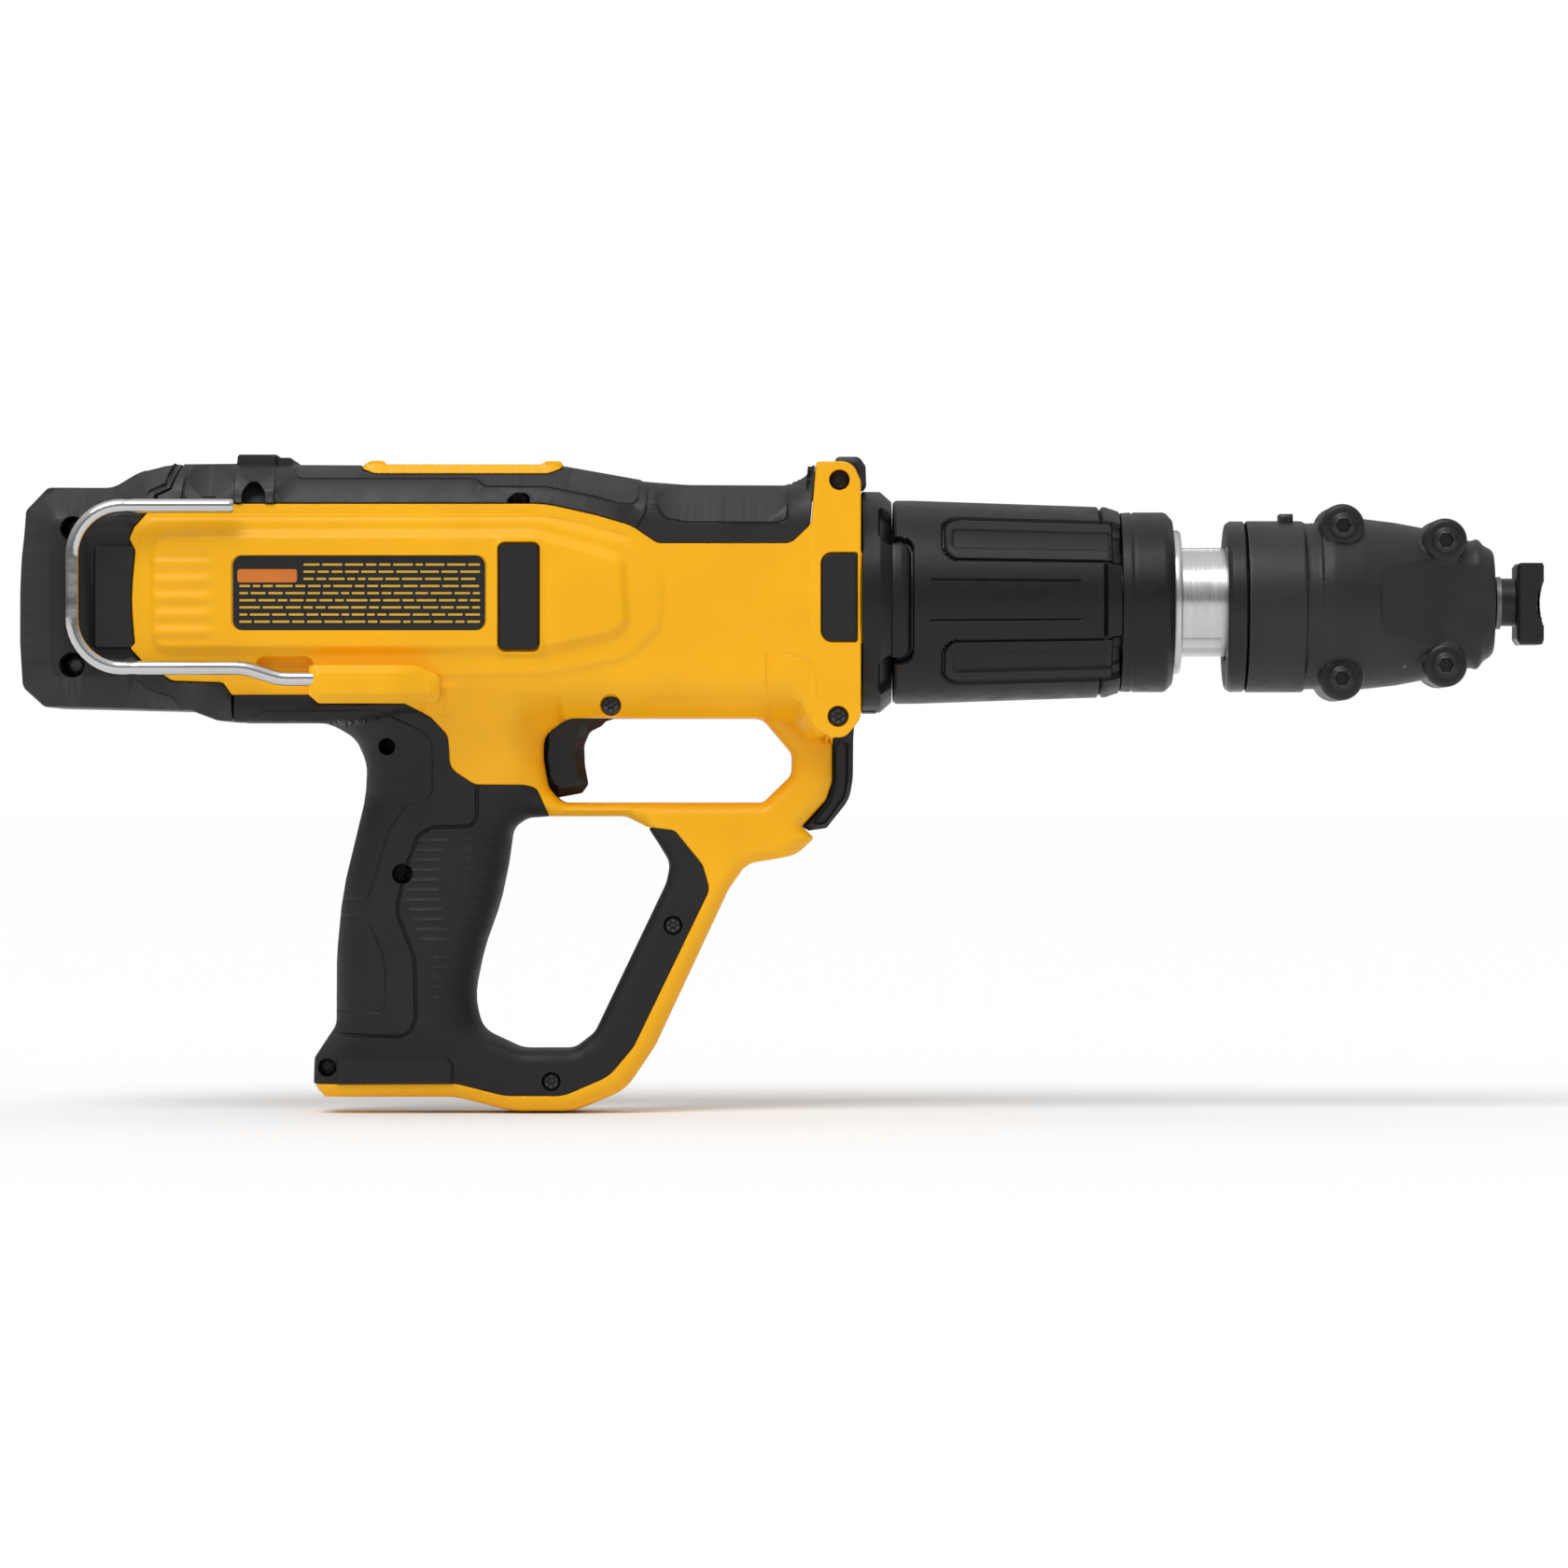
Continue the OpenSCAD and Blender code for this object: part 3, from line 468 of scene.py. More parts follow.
# %% Stretches of outline that two or more pieces share, as (x, z, corner radius)
GRIP_BACK = [(-372, -37, 15), (-363.5, -42, 9), (-360.2, -50, 12), (-361, -60, 30),
             (-368, -89, 60), (-369.8, -108, 60), (-369.9, -129.5, 6), (-376.2, -139.5, 3)]
BASE_EDGE = [(-333, -151.5, 20), (-315, -156, 25), (-297, -156, 18), (-281, -149.3, 14),
             (-272, -136, 14), (-249.5, -88, 12)]
HAND_EDGE = [(-271, -74, 6), (-267.4, -80, 6), (-268.6, -86, 10), (-290.6, -132, 9),
             (-297, -137, 6), (-313, -137, 10), (-325, -131, 8), (-327.6, -121, 25),
             (-324.5, -106, 40), (-319.5, -92, 40), (-317, -80, 20), (-315.5, -69, 7),
             (-311, -66.2, 5)]
BAR_SEAM = [(-376.4, -147.4, 0.5), (-333, -147.2, 15), (-318, -151, 18), (-300, -151.1, 14),
            (-286, -145, 12), (-278.5, -136, 8), (-255.3, -88, 5), (-257.5, -80.5, 5),
            (-266, -70, 3), (-274.2, -69, 0.5)]
THUMB_SEAM = [(-304.3, -65.7, 0.4), (-308.2, -57, 3), (-312, -56.1, 2), (-327, -56, 5),
              (-334.4, -51, 5), (-334.9, -41, 5), (-340, -35.5, 5), (-347.5, -31.4, 3),
              (-373.3, -31.4, 1), (-376.2, -28.8, 1)]
print("shared corners:", len(GRIP_BACK + BASE_EDGE + HAND_EDGE + BAR_SEAM + THUMB_SEAM))

# %% Silhouettes of the body and of the handle frame
BODY = rounded([
    (-465.4, 0, 400), (-463.6, 27.5, 3), (-456.8, 34.6, 2.5), (-437, 34.6, 8), (-429, 39.4, 14),
    (-419, 41.6, 20), (-361, 41.4), (-299.5, 41.2, 12), (-276, 36.9, 20), (-262, 35.4, 30),
    (-232, 35.2, 6), (-226, 38, 6), (-223, 42, 2), (-212, 42, 6), (-209.2, 36, 3),
    (-209.2, -36, 6), (-214, -41.6, 6), (-226, -41.6, 3), (-232, -36.2, 6), (-300, -36.2, 10),
    (-338, -34, 10), (-347, -33.4, 8), (-362, -37.4, 12), (-404.5, -37.2, 5),
    (-412.5, -33.8, 6), (-457, -32.6, 2.5), (-463.8, -26.5, 4)])
TRIGGER_GAP = rounded([
    (-299, -35.7, 8), (-239.5, -35.7, 5), (-230.3, -46.5, 4), (-230.3, -53, 4),
    (-239, -61.5, 3), (-300.5, -61.5, 4), (-304.6, -57, 6), (-306.3, -48, 20),
    (-306, -41, 6)], 4)
HAND_GAP = rounded([
    (-306, -65.7, 2), (-281, -65.7, 6), (-275.8, -68.3, 1.5), *HAND_EDGE])
FRAME = rounded([
    (-399.5, -25), (-399.5, -37, 1), *GRIP_BACK, (-376.6, -147, 1.5), (-373, -151.5, 1.2),
    *BASE_EDGE, (-244, -80.2, 7), (-233, -79.2, 10), (-223.2, -72.4, 1),
    (-227, -68.7, 0.8), (-219.6, -60.5, 4), (-217.8, -55, 6), (-217.8, -25)])
print("outlines:", len(BODY), len(FRAME))


# %% Half width of the whole tool at a point of its side view
def frame_width(p):
    x, z = p[:, 0], p[:, 1]
    d = np.minimum(depth_in(p, FRAME), -depth_in(p, TRIGGER_GAP))
    d = np.maximum(np.minimum(d, -depth_in(p, HAND_GAP)), 0)
    handle = ease((-302 - x) / 14) * ease((z + 139) / 10)
    top = handle * ease((z + 62) / 14)
    flare = ease((z + 58) / 30) * ease((-296 - x) / 20)
    width = 14.2 + 3.4 * handle + 1.2 * top + 9.0 * flare * flare
    round_r = 4.6 + 10.4 * handle - 4 * top + 4 * flare
    return width - drop(d, round_r)


def body_width(p):
    x, z = p[:, 0], p[:, 1]
    d = depth_in(p, BODY)
    upper = ease(z / 24)
    waist = ease((x + 338) / 12) * ease((-222 - x) / 8) * ease(-z / 20)
    round_r = 6.5 + 7.0 * upper + 7.5 * waist
    width = 31.6 + 1.2 * ease((-444 - x) / 8) - 1.4 * ease((-x - 400) / 30) * ease(z / 30)
    return np.where(d > 0, width - drop(d, round_r), 0)


def tool_width(p):
    return soft_max(body_width(p), frame_width(p), 5.0)


BODY_ROWS = [(BODY, True, edge_rows(6.5, 6))]


# %% Lines, recesses and raised panels on a shell
def groove(p, line, width=0.9, deep=0.6, closed=False):
    return deep * ease((width / 2 + 0.2 - gap_to(p, line, closed, width + 1)) / 0.4)


def raised(p, outline, high, slope):
    return high * ease(depth_in(p, outline, slope + 1) / slope + 0.5)


def line_rows(line, closed=False, width=0.9):
    h = width / 2
    return (line, closed, [0, h - 0.2, h + 0.2, -h + 0.2, -h - 0.2])


def circle(x, z, r, n=40):
    t = np.arange(n) * 2 * math.pi / n
    return np.stack([x + r * np.cos(t), z + r * np.sin(t)], 1)


def curve(points, radius=3.0):
    """An open line with rounded corners."""
    pts = [tuple(p) for p in points]
    first, last = pts[0][:2], pts[-1][:2]
    if len(pts) == 2:
        return np.array([first, last], float)
    return rounded([(*first, 0)] + pts[1:-1] + [(*last, 0)], radius)


# %% [markdown]
# The yellow housing carries a long raised panel with sloping sides, a label seat, two black
# pads with a thin lip round each, five soft finger ribs at the back and a raised flange at
# the front. Each is one term added to or taken from the width.

# %% Lines and panels of the yellow housing
HOUSING = rounded([
    (-431, 18.5, 0.8), (-429.6, 22, 1), (-425.5, 26.6, 3), (-421.5, 29.1, 4), (-305, 29.1, 30),
    (-290, 25.8, 40), (-279, 22.6, 12), (-271, 17.2, 4), (-230.5, 17.2, 5), (-224.4, 23, 4),
    (-222.8, 41.9, 0.8), (-212, 42, 6), (-209.3, 36, 3), (-209.3, -36, 6), (-214, -41.6, 5),
    (-217.9, -41.6, 0.4), (-217.9, -55, 6), (-219.8, -60.7, 4), (-227.2, -68.8, 0.8),
    (-223.4, -72.4, 0.8), (-229, -77.6, 10), (-244, -80.2, 7), *BASE_EDGE[::-1],
    (-373, -151.5, 1.2), *BAR_SEAM,
    (-275.9, -68.2, 0.6), (-281, -65.7, 6), *THUMB_SEAM, (-400, -28.8, 1),
    (-402.6, -25, 2), (-418, -24.5, 4), (-427, -18.6, 2), (-430.9, -14.5, 0.8),
    (-429.3, -13.4, 1), (-430.4, 0, 60), (-429.2, 15, 1.5)])
PANEL = rounded([(-424, 20, 6), (-308, 20, 10), (-281.5, 12.5, 4), (-280.2, -7, 3),
                 (-284, -10.5, 6), (-306, -15.3, 10), (-424, -15.3, 5)])
SHOULDER = rounded([(-428, 24.8, 6), (-308, 24.8, 30), (-279, 17.5, 12), (-269.5, 8, 8),
                    (-269.8, -8, 8), (-280, -18, 12), (-302, -22.6, 20), (-335, -23.6, 2),
                    (-428, -23.6, 5)])
TOP_LINE = curve([(-423, 25), (-304, 25), (-292, 22.6), (-280, 19.3)], 30)
LABEL = rounded([(-399.8, 13.4), (-322.7, 13.4), (-322.7, -9.3), (-399.8, -9.3)], 3)
SIDE_PAD = rounded([(-319.2, 17.4), (-306.6, 17.4), (-306.6, -15.5), (-319.2, -15.5)], 2)
FRONT_PAD = rounded([(-221.4, 14.4, 3.4), (-210.3, 14.4, 0.8), (-210.3, -12.8, 0.8),
                     (-221.4, -12.8, 3.4)])
FLANGE = rounded([(-224.6, -38, 5), (-224.6, 30, 1), (-223, 44, 2), (-206, 44), (-206, -44),
                  (-217.5, -44), (-219, -41.4, 2)])
FLANGE_STEP = curve([(-222.4, -30), (-222.8, -22), (-224.6, -18.5), (-233, -16.2)], 3)
CREASE = curve([(-237.3, -16.4), (-237.3, -24), (-236.4, -30.6)], 3)
PIN_SEAT = circle(-285.2, -31.8, 3.1)
LEVER_SEAT = circle(-216.2, -35.3, 3.1)
LATCH_SEAT = circle(-215.8, 36.4, 3.0)
HOOK_SLOT = rounded([(-395, -17.6), (-375.6, -17.6), (-375.6, -24.6), (-388, -24.6)], 2)


# %% Half width of the housing
def rib_bumps(p):
    x, z = p[:, 0], p[:, 1]
    window = ease((x + 425) / 3) * ease((-403.5 - x) / 5) * ease((14.5 - np.abs(z - 0.5)) / 2)
    return window * 0.8 * (0.5 - 0.5 * np.cos(2 * math.pi * (z + 12.5) / 5.2)) - window * 0.4


def housing_width(p, label=True):
    y = tool_width(p)
    y = y + raised(p, SHOULDER, 0.9, 3.0) + raised(p, PANEL, 1.9, 3.2) + rib_bumps(p)
    lip = depth_in(p, SIDE_PAD, 4)
    y = y + 0.7 * ease((lip + 1.3) / 0.3) * (lip < 0)
    y -= groove(p, TOP_LINE, 0.5, 0.25)
    y = np.maximum(y, np.where(depth_in(p, FLANGE) > 0,
                               32.4 - drop(depth_in(p, FLANGE), 1.4), 0))
    y -= groove(p, FLANGE_STEP, 0.6, 0.25) + groove(p, CREASE, 1.6, 0.35)
    if label:
        y -= raised(p, LABEL, 0.5, 0.3)
    y -= raised(p, SIDE_PAD, 1.4, 0.4) + raised(p, FRONT_PAD, 1.6, 0.4)
    for seat in (PIN_SEAT, LEVER_SEAT):
        y -= raised(p, seat, 3.4, 0.3)
    y -= raised(p, LATCH_SEAT, 9.0, 0.3) + raised(p, HOOK_SLOT, 4.0, 1.2)
    return y


# %% Where the housing's rim stops: a round mouth for the collar, slots for the rest
def housing_stop(p):
    x, z = p[:, 0], p[:, 1]
    stop = 0.06 + 0 * x
    mouth = np.sqrt(np.maximum(27.6 ** 2 - z ** 2, 0))
    stop = np.where(x > -209.6, np.maximum(stop, mouth), stop)
    stop = np.where((x > -209.6) & (z > 31), 9.6, stop)
    stop = np.where((x > -222.7) & (z > 33), 9.6, stop)
    stop = np.where((x > -229) & (z < -41) & (z > -74) & (x < -209), 10.6, stop)
    stop = np.where((x < -302) & (z < -36) & (z > -61.8) & (x > -312), 6.4, stop)
    stop = np.where((x > -313) & (x < -280) & (np.abs(z + 35.7) < 0.4), 6.4, stop)
    stop = np.where((x > -347) & (x < -330.5) & (z < -147), 6.0, stop)
    top = (z > 17) & (x < -222.9) & (x > -424)
    back = (x < -399) & (z < 29)
    return np.where(top | back, 22, stop)


HOUSING_ROWS = (BODY_ROWS + [
    (PANEL, True, [-1.6, -1.1, -0.55, 0, 0.55, 1.1, 1.6]),
    (SHOULDER, True, [-1.5, -0.8, 0, 0.8, 1.5]),
    (FLANGE, True, [-0.15, 0.05, 0.3, 0.8, 1.4]),
    (HOOK_SLOT, True, [-0.5, 0, 0.5]), (LABEL, True, [-0.2, 0.2]),
    (SIDE_PAD, True, [-1.2, -1.05, -0.25, 0.25]),
    (FRONT_PAD, True, [-0.2, 0.2]),
    line_rows(TOP_LINE, width=0.5), line_rows(FLANGE_STEP, width=0.6),
    line_rows(CREASE, width=1.6)]
    + [(c, True, [-0.2, 0.2]) for c in (PIN_SEAT, LEVER_SEAT, LATCH_SEAT)])
right = relief([HOUSING, TRIGGER_GAP], housing_width, HOUSING_ROWS, 0.95, housing_stop, 0.4, 4)
left = mirrored(*relief([HOUSING, TRIGGER_GAP], lambda p: housing_width(p, False),
                        HOUSING_ROWS, 0.95, housing_stop, 0.4, 4))

# %% [markdown]
# The hook turns in a long boss on the right half. It is a rounded block with a slot behind
# it where the wire comes out, so it is its own small relief joined to the shell.

# %% Hook boss, and the two housing halves
BOSS = rounded([(-376, -19.9, 0.6), (-344, -19.9, 3), (-336.8, -23, 3), (-336.8, -31.2, 2),
                (-373.2, -31.4, 0.8), (-376.2, -28.8, 0.8)])


def boss_width(p):
    x = p[:, 0]
    return 41.6 - drop(np.maximum(depth_in(p, BOSS), 0), 2.2) - 4.5 * ease((x + 352) / 15)


boss = relief([BOSS], boss_width, [(BOSS, True, edge_rows(2.2, 5))], 0.8,
              lambda p: 28 + 0 * p[:, 0], 0.05)
shell("housing_right", joined(right, boss), YELLOW_NYLON, "housing", "housing_right",
      "yellow_nylon", 2.2)
shell("housing_left", left, YELLOW_NYLON, "housing", "housing_left", "yellow_nylon", 2.2)

# %% [markdown]
# The black top cover follows the same body surface. Panel lines divide it, a clip boss
# stands up near its back, and two half-round wells let a driver reach the screws. It could be
# modelled as a box and cut up, but then its edge would have to be fitted to the housing's.

# %% Top cover
COVER = rounded([
    (-415.2, 29.3, 0.4), (-421, 29.3, 2), (-423.4, 31.4, 0.6), (-418.6, 33.6, 0.8),
    (-417.4, 37, 3), (-415.3, 41.6, 0.5), (-399.2, 41.7, 0.4), (-398.8, 44.5, 0.8),
    (-386.9, 44.5, 0.8), (-386.7, 43.6, 0.3), (-382.6, 43.6, 0.8), (-382, 41.4, 0.5),
    (-361.2, 41.3, 0.4), (-360.6, 39.5, 1), (-356, 38.4, 2), (-304.5, 38.4, 2),
    (-300.6, 39.8, 1), (-299.6, 41, 0.4), (-276.4, 36.9, 0.6), (-275.6, 36.3, 0.3),
    (-270.6, 35.9, 0.3), (-262, 35.3, 20), (-232, 35.2, 6), (-226, 38, 5), (-224, 41.4, 1),
    (-223.1, 41.6, 0.3), (-224.6, 23, 4), (-230.5, 17.4, 5), (-271, 17.4, 4),
    (-279.1, 22.8, 12), (-290, 26, 40), (-305, 29.3, 30)])
COVER_SPLIT = curve([(-381.6, 41.6), (-381.4, 38.4), (-379.6, 36.7), (-326.5, 36.7),
                     (-323.2, 34.3), (-305, 34.2), (-290, 31.2), (-283, 29.2), (-278, 28.8),
                     (-276.6, 31), (-276, 37.2)], 2.5)
COVER_FRONT = curve([(-270.6, 36), (-271.2, 28), (-268.5, 24.6), (-262, 23.4), (-234, 23.3),
                     (-231.6, 24.4), (-230.9, 35.4)], 2.5)
COVER_BEND = curve([(-277.2, 22), (-274.6, 26), (-273.2, 37)], 5)
COVER_BACK = curve([(-415.2, 29), (-414.6, 35), (-412.8, 42)], 8)
BOSS_LEFT = curve([(-399.3, 29), (-399.2, 42)], 1)
BOSS_RIGHT = curve([(-387.6, 29), (-387, 34), (-386.8, 44)], 4)
WELL_BACK = rounded([(-396.8, 27), (-396.8, 32.6), (-394.6, 35.8), (-392, 35.8), (-390, 32.6),
                     (-390, 27)], 2.4)
WELL_FRONT = rounded([(-316.4, 27), (-316.4, 30.5), (-314, 32.4), (-311, 32.4), (-309.7, 31),
                      (-309.7, 27)], 2)
COVER_LINES = (COVER_SPLIT, COVER_FRONT, COVER_BEND, COVER_BACK)


def cover_width(p):
    x, z = p[:, 0], p[:, 1]
    y = body_width(np.stack([x, np.minimum(z, 41.3)], 1))
    y = y - 0.35 * ease((z - 29) / 2)
    boss_on = ease((x + 399.3) / 0.5) * ease((-386.9 - x) / 0.5)
    y = np.where(z > 40.9, np.maximum(y, 15.0), y) + 1.0 * boss_on
    y = np.maximum(y, boss_on * (20 - drop(np.maximum(44.5 - z, 0), 3)))
    for line in COVER_LINES:
        y -= groove(p, line, 0.55, 0.45)
    y -= raised(p, WELL_BACK, 6, 0.4) + raised(p, WELL_FRONT, 6, 0.4)
    return y


def cover_stop(p):
    x, z = p[:, 0], p[:, 1]
    inside = (z < 29.6) | ((z < 24) & (x > -285)) | (x < -415.4) | ((x > -224.8) & (z < 41))
    rim = (x > -361.5) & (x < -299.4) & (z > 38)
    return np.where(rim, 9.2, np.where(inside, 21, 0.0))


COVER_ROWS = ([(BODY, True, edge_rows(13, 11))] + [line_rows(l, width=0.55) for l in COVER_LINES]
              + [(w, True, [-0.2, 0.2]) for w in (WELL_BACK, WELL_FRONT)]
              + [(l, False, [-0.25, 0, 0.25]) for l in (BOSS_LEFT, BOSS_RIGHT)])
half = relief([COVER], cover_width, COVER_ROWS, 0.7, cover_stop, 0.35, 7)
shell("top_cover", joined(half, mirrored(*half)), BLACK_NYLON, "housing", "top_cover",
      "black_nylon", 2.2)

# %% Port rim: the yellow saddle round the port where the spent strip comes out
PORT = rounded([
    (-361.1, 40.3, 0.8), (-357, 38.6, 3), (-304.2, 38.6, 3), (-299.5, 40.6, 1),
    (-300.6, 42.4, 0.8), (-304.8, 42.4, 0.8), (-306.6, 41.4, 1.5), (-353.4, 41.4, 0.5),
    (-354.6, 42.5, 0.6), (-358.2, 42.5, 0.8), (-360, 41.5, 0.8)])


def port_width(p):
    x, z = p[:, 0], p[:, 1]
    return body_width(np.stack([x, np.minimum(z, 40.2)], 1)) + 0.35


half = relief([PORT], port_width, [(BODY, True, edge_rows(13, 11))], 0.7,
              lambda p: np.where(p[:, 1] > 39.5, 7.2, 9.4), 0.4, 8)
shell("port_rim", joined(half, mirrored(*half)), YELLOW_NYLON, "housing", "port_rim",
      "yellow_nylon", 1.6)

# %% [markdown]
# The rear cap closes the back. It has two deep screw wells a side, a raised block where a
# hand pulls it, and a seam that steps up to the top cover. Wells and block are more terms of
# the same width, so the cap stays flush with the shells that it meets.

# %% Rear cap
CAP = rounded([
    (-465.3, 0, 400), (-463.6, 27.5, 3), (-456.8, 34.5, 2.5), (-437, 34.5, 8), (-429, 39.3, 14),
    (-421, 41.4, 12), (-415.6, 41.5, 0.4), (-417.8, 36.8, 3), (-418.8, 33.9, 0.8),
    (-424, 31.6, 0.6), (-421.6, 29.3, 1), (-425.8, 26.8, 3), (-429.9, 22.2, 1),
    (-431.3, 18.6, 0.8), (-429.5, 15.1, 1.5), (-430.7, 0, 60), (-429.6, -13.5, 1),
    (-431.2, -14.6, 0.8), (-427.2, -18.9, 2), (-418, -24.8, 4), (-402.8, -25.3, 2),
    (-400.2, -29.1, 1), (-399.8, -36.9, 1), (-404.5, -36.6, 5), (-412.5, -33.6, 6),
    (-457, -32.5, 2.5), (-463.8, -26.4, 4)])
PULL_BLOCK = rounded([(-441.6, 16.6), (-426, 16.6), (-426, -14.6), (-441.6, -14.6)], 1.4)
PULL_HOLLOW = rounded([(-445, 22), (-433, 24), (-424, 20), (-424, -18), (-433, -20),
                       (-443, -19)], 4)
CAP_WELLS = [circle(-448.2, 21.7, 3.6), circle(-448.3, -19.7, 3.7)]
CAP_SEAM = curve([(-430, -23.5), (-424, -27.5), (-418, -29.2)], 12)
CAP_NICK = curve([(-418, -32), (-416.6, -34.5)], 1)


def cap_width(p):
    y = body_width(p)
    y = y - raised(p, PULL_HOLLOW, 2.4, 4.0) + raised(p, PULL_BLOCK, 2.2, 0.8)
    y -= groove(p, CAP_SEAM, 0.5, 0.3) + groove(p, CAP_NICK, 0.8, 0.5)
    for well in CAP_WELLS:
        y -= raised(p, well, 16, 0.3)
    return y


def cap_stop(p):
    x, z = p[:, 0], p[:, 1]
    open_front = (x > -432) & (z < 29.6) & (z > -29.4)
    open_top = (x > -425) & (z > 29) & (x < -415) & (z < 41)
    return np.where(open_front | open_top | ((x > -400.4) & (z < -29)), 20, 0.0)


CAP_ROWS = ([(BODY, True, edge_rows(9, 9))] + [(w, True, [-0.16, 0.16]) for w in CAP_WELLS]
            + [(PULL_BLOCK, True, [-0.4, 0, 0.4]), (PULL_HOLLOW, True, [-2, -1, 0, 1, 2]),
               line_rows(CAP_SEAM, width=0.5)])
half = relief([CAP], cap_width, CAP_ROWS, 0.7, cap_stop, 0.35, 7)
shell("rear_cap", joined(half, mirrored(*half)), BLACK_NYLON, "housing", "rear_cap",
      "black_nylon", 2.4)

# %% [markdown]
# The grip is a soft black overmould on the yellow frame. The section through the handle is
# nearly an oval, the front bar is flatter. Panel lines mark the backstrap and the front
# panel, and fine ribs run across where the palm and the fingers press.

# %% Grip outlines
GRIP = rounded([
    (-399.4, -28.8, 0.3), (-399.5, -37, 1), *GRIP_BACK, *BAR_SEAM, *HAND_EDGE, *THUMB_SEAM])
STRAP_TOP = curve([(-392.6, -36.9), (-391.6, -33.6), (-355.5, -33.3), (-342, -40),
                   (-339.8, -43), (-339.8, -58.4), (-341.6, -60.2), (-348, -62.6),
                   (-353, -69.5), (-359.4, -90.4), (-361, -91.2), (-369, -91.2)], 3)
STRAP_LOW = curve([(-369.6, -96.4), (-361, -96.4), (-359, -98.2), (-355, -107), (-354.1, -112),
                   (-354, -123), (-355.6, -125.3), (-370, -124.6)], 2)
FRONT_LINE = curve([(-326.2, -56.4), (-326.2, -66), (-328, -68.7), (-340, -69), (-344, -71.4),
                    (-347.4, -80), (-348.8, -86), (-350.4, -92), (-350.3, -96), (-348, -101.6),
                    (-345.2, -109), (-344.8, -127), (-346.2, -131), (-349.5, -132.8),
                    (-370.4, -132.2)], 3)
BASE_BAR = rounded([(-369, -139.6), (-335.4, -139.8), (-333.8, -141.5), (-333.8, -150),
                    (-369, -150)], 1)
GRIP_WELLS = [circle(-353.6, -44.4, 2.5), circle(-349, -83.2, 3.0), circle(-372.2, -142.4, 2.7)]
GRIP_SEATS = [circle(-303.7, -146.7, 2.8), circle(-266.5, -99, 2.8)]
RIB_LINES = []
for k in range(17):
    z = -73.2 - 3.02 * k
    front = -319.5 - 0.0062 * max(0, -z - 84) ** 2 if z > -108 else -329.4
    back = -341.5 - 6.0 * math.sin(math.pi * min(1, max(0, (-z - 66) / 40)))
    if z > -106:
        RIB_LINES.append(np.array([[back, z], [back + 9, z]]))
    RIB_LINES.append(np.array([[front - 9.5, z + 0.6], [front - 0.6, z + 0.6]]))


# %% Half width of the grip
def grip_width(p):
    y = tool_width(p)
    y -= 0.5 * ease(1.7 - gap_to(p, np.array([[-399, -30.5], [-345, -30.5]]), False))
    y -= groove(p, STRAP_TOP, 0.45, 0.35) + groove(p, STRAP_LOW, 0.45, 0.35)
    y -= groove(p, FRONT_LINE, 0.8, 0.7)
    y += raised(p, BASE_BAR, 1.3, 0.9)
    for rib in RIB_LINES:
        y += 0.42 * np.exp(-(gap_to(p, rib, False, 3) / 0.42) ** 2)
    for well in GRIP_WELLS:
        y -= raised(p, well, 9, 0.3)
    for seat in GRIP_SEATS:
        y -= raised(p, seat, 3.0, 0.3)
    return y


def grip_stop(p):
    x, z = p[:, 0], p[:, 1]
    stop = 0.06 + 0 * x
    stop = np.where((z > -57) & (x < -308) & (x > -399.3) & (z > -36), 9, stop)
    stop = np.where((x > -347) & (x < -330.5) & (z < -146), 6.0, stop)
    return np.where((x > -340.5) & (x < -308) & (z > -57), 9, stop)


GRIP_ROWS = ([line_rows(STRAP_TOP, width=0.45), line_rows(STRAP_LOW, width=0.45),
              line_rows(FRONT_LINE, width=0.8), (BASE_BAR, True, [-0.5, 0, 0.5])]
             + [(FRAME, True, edge_rows(9, 8)[:7])]
             + [(HAND_GAP, True, [-r for r in edge_rows(6, 7)] + edge_rows(6, 7))]
             + [(w, True, [-0.16, 0.16]) for w in GRIP_WELLS + GRIP_SEATS]
             + [(r, False, [-0.6, -0.3, 0, 0.3, 0.6]) for r in RIB_LINES])
half = relief([GRIP], grip_width, GRIP_ROWS, 0.95, grip_stop, 0.3, 5)
shell("grip_right", half, GRIP_RUBBER, "housing", "grip_right", "black_rubber", 1.2)
shell("grip_left", mirrored(*half), GRIP_RUBBER, "housing", "grip_left", "black_rubber", 1.2)

# %% [markdown]
# The pads are black rubber inserts, a little proud of their seats, with a rounded edge. The
# plate is a thin film. Its print is a plain pattern of short bars that spells nothing.


# %% Pads and plate
def pad(name, outline, sink, node, mirror=False, proud=0.5):
    width = lambda p: housing_width(p, True) + sink + proud - drop(
        np.maximum(depth_in(p, outline), 0), 0.8)
    shrunk = outline.mean(0) + (outline - outline.mean(0)) * 0.975
    base = lambda p: width(p) - 1.2
    shape = relief([shrunk], width, [], 0.8, base, 0.5, 2)
    if mirror:
        shape = mirrored(*shape)
    return shell(name, shape, GRIP_RUBBER, "housing", node, "black_rubber", 0.9)


pad("side_pad_right", SIDE_PAD, 1.4, "side_pad_right")
pad("side_pad_left", SIDE_PAD, 1.4, "side_pad_left", True)
pad("front_pad_right", FRONT_PAD, 1.6, "front_pad_right", proud=0.2)
pad("front_pad_left", FRONT_PAD, 1.6, "front_pad_left", True, 0.2)
plate_outline = LABEL.mean(0) + (LABEL - LABEL.mean(0)) * 0.99
plate_height = lambda p: housing_width(p) + 0.42
plate = relief([plate_outline], plate_height, [], 1.2, lambda p: plate_height(p) - 0.3, 0.1, 1)
shell("data_plate", plate, PLATE_FILM, "housing", "data_plate", "printed_plate", 0.2)

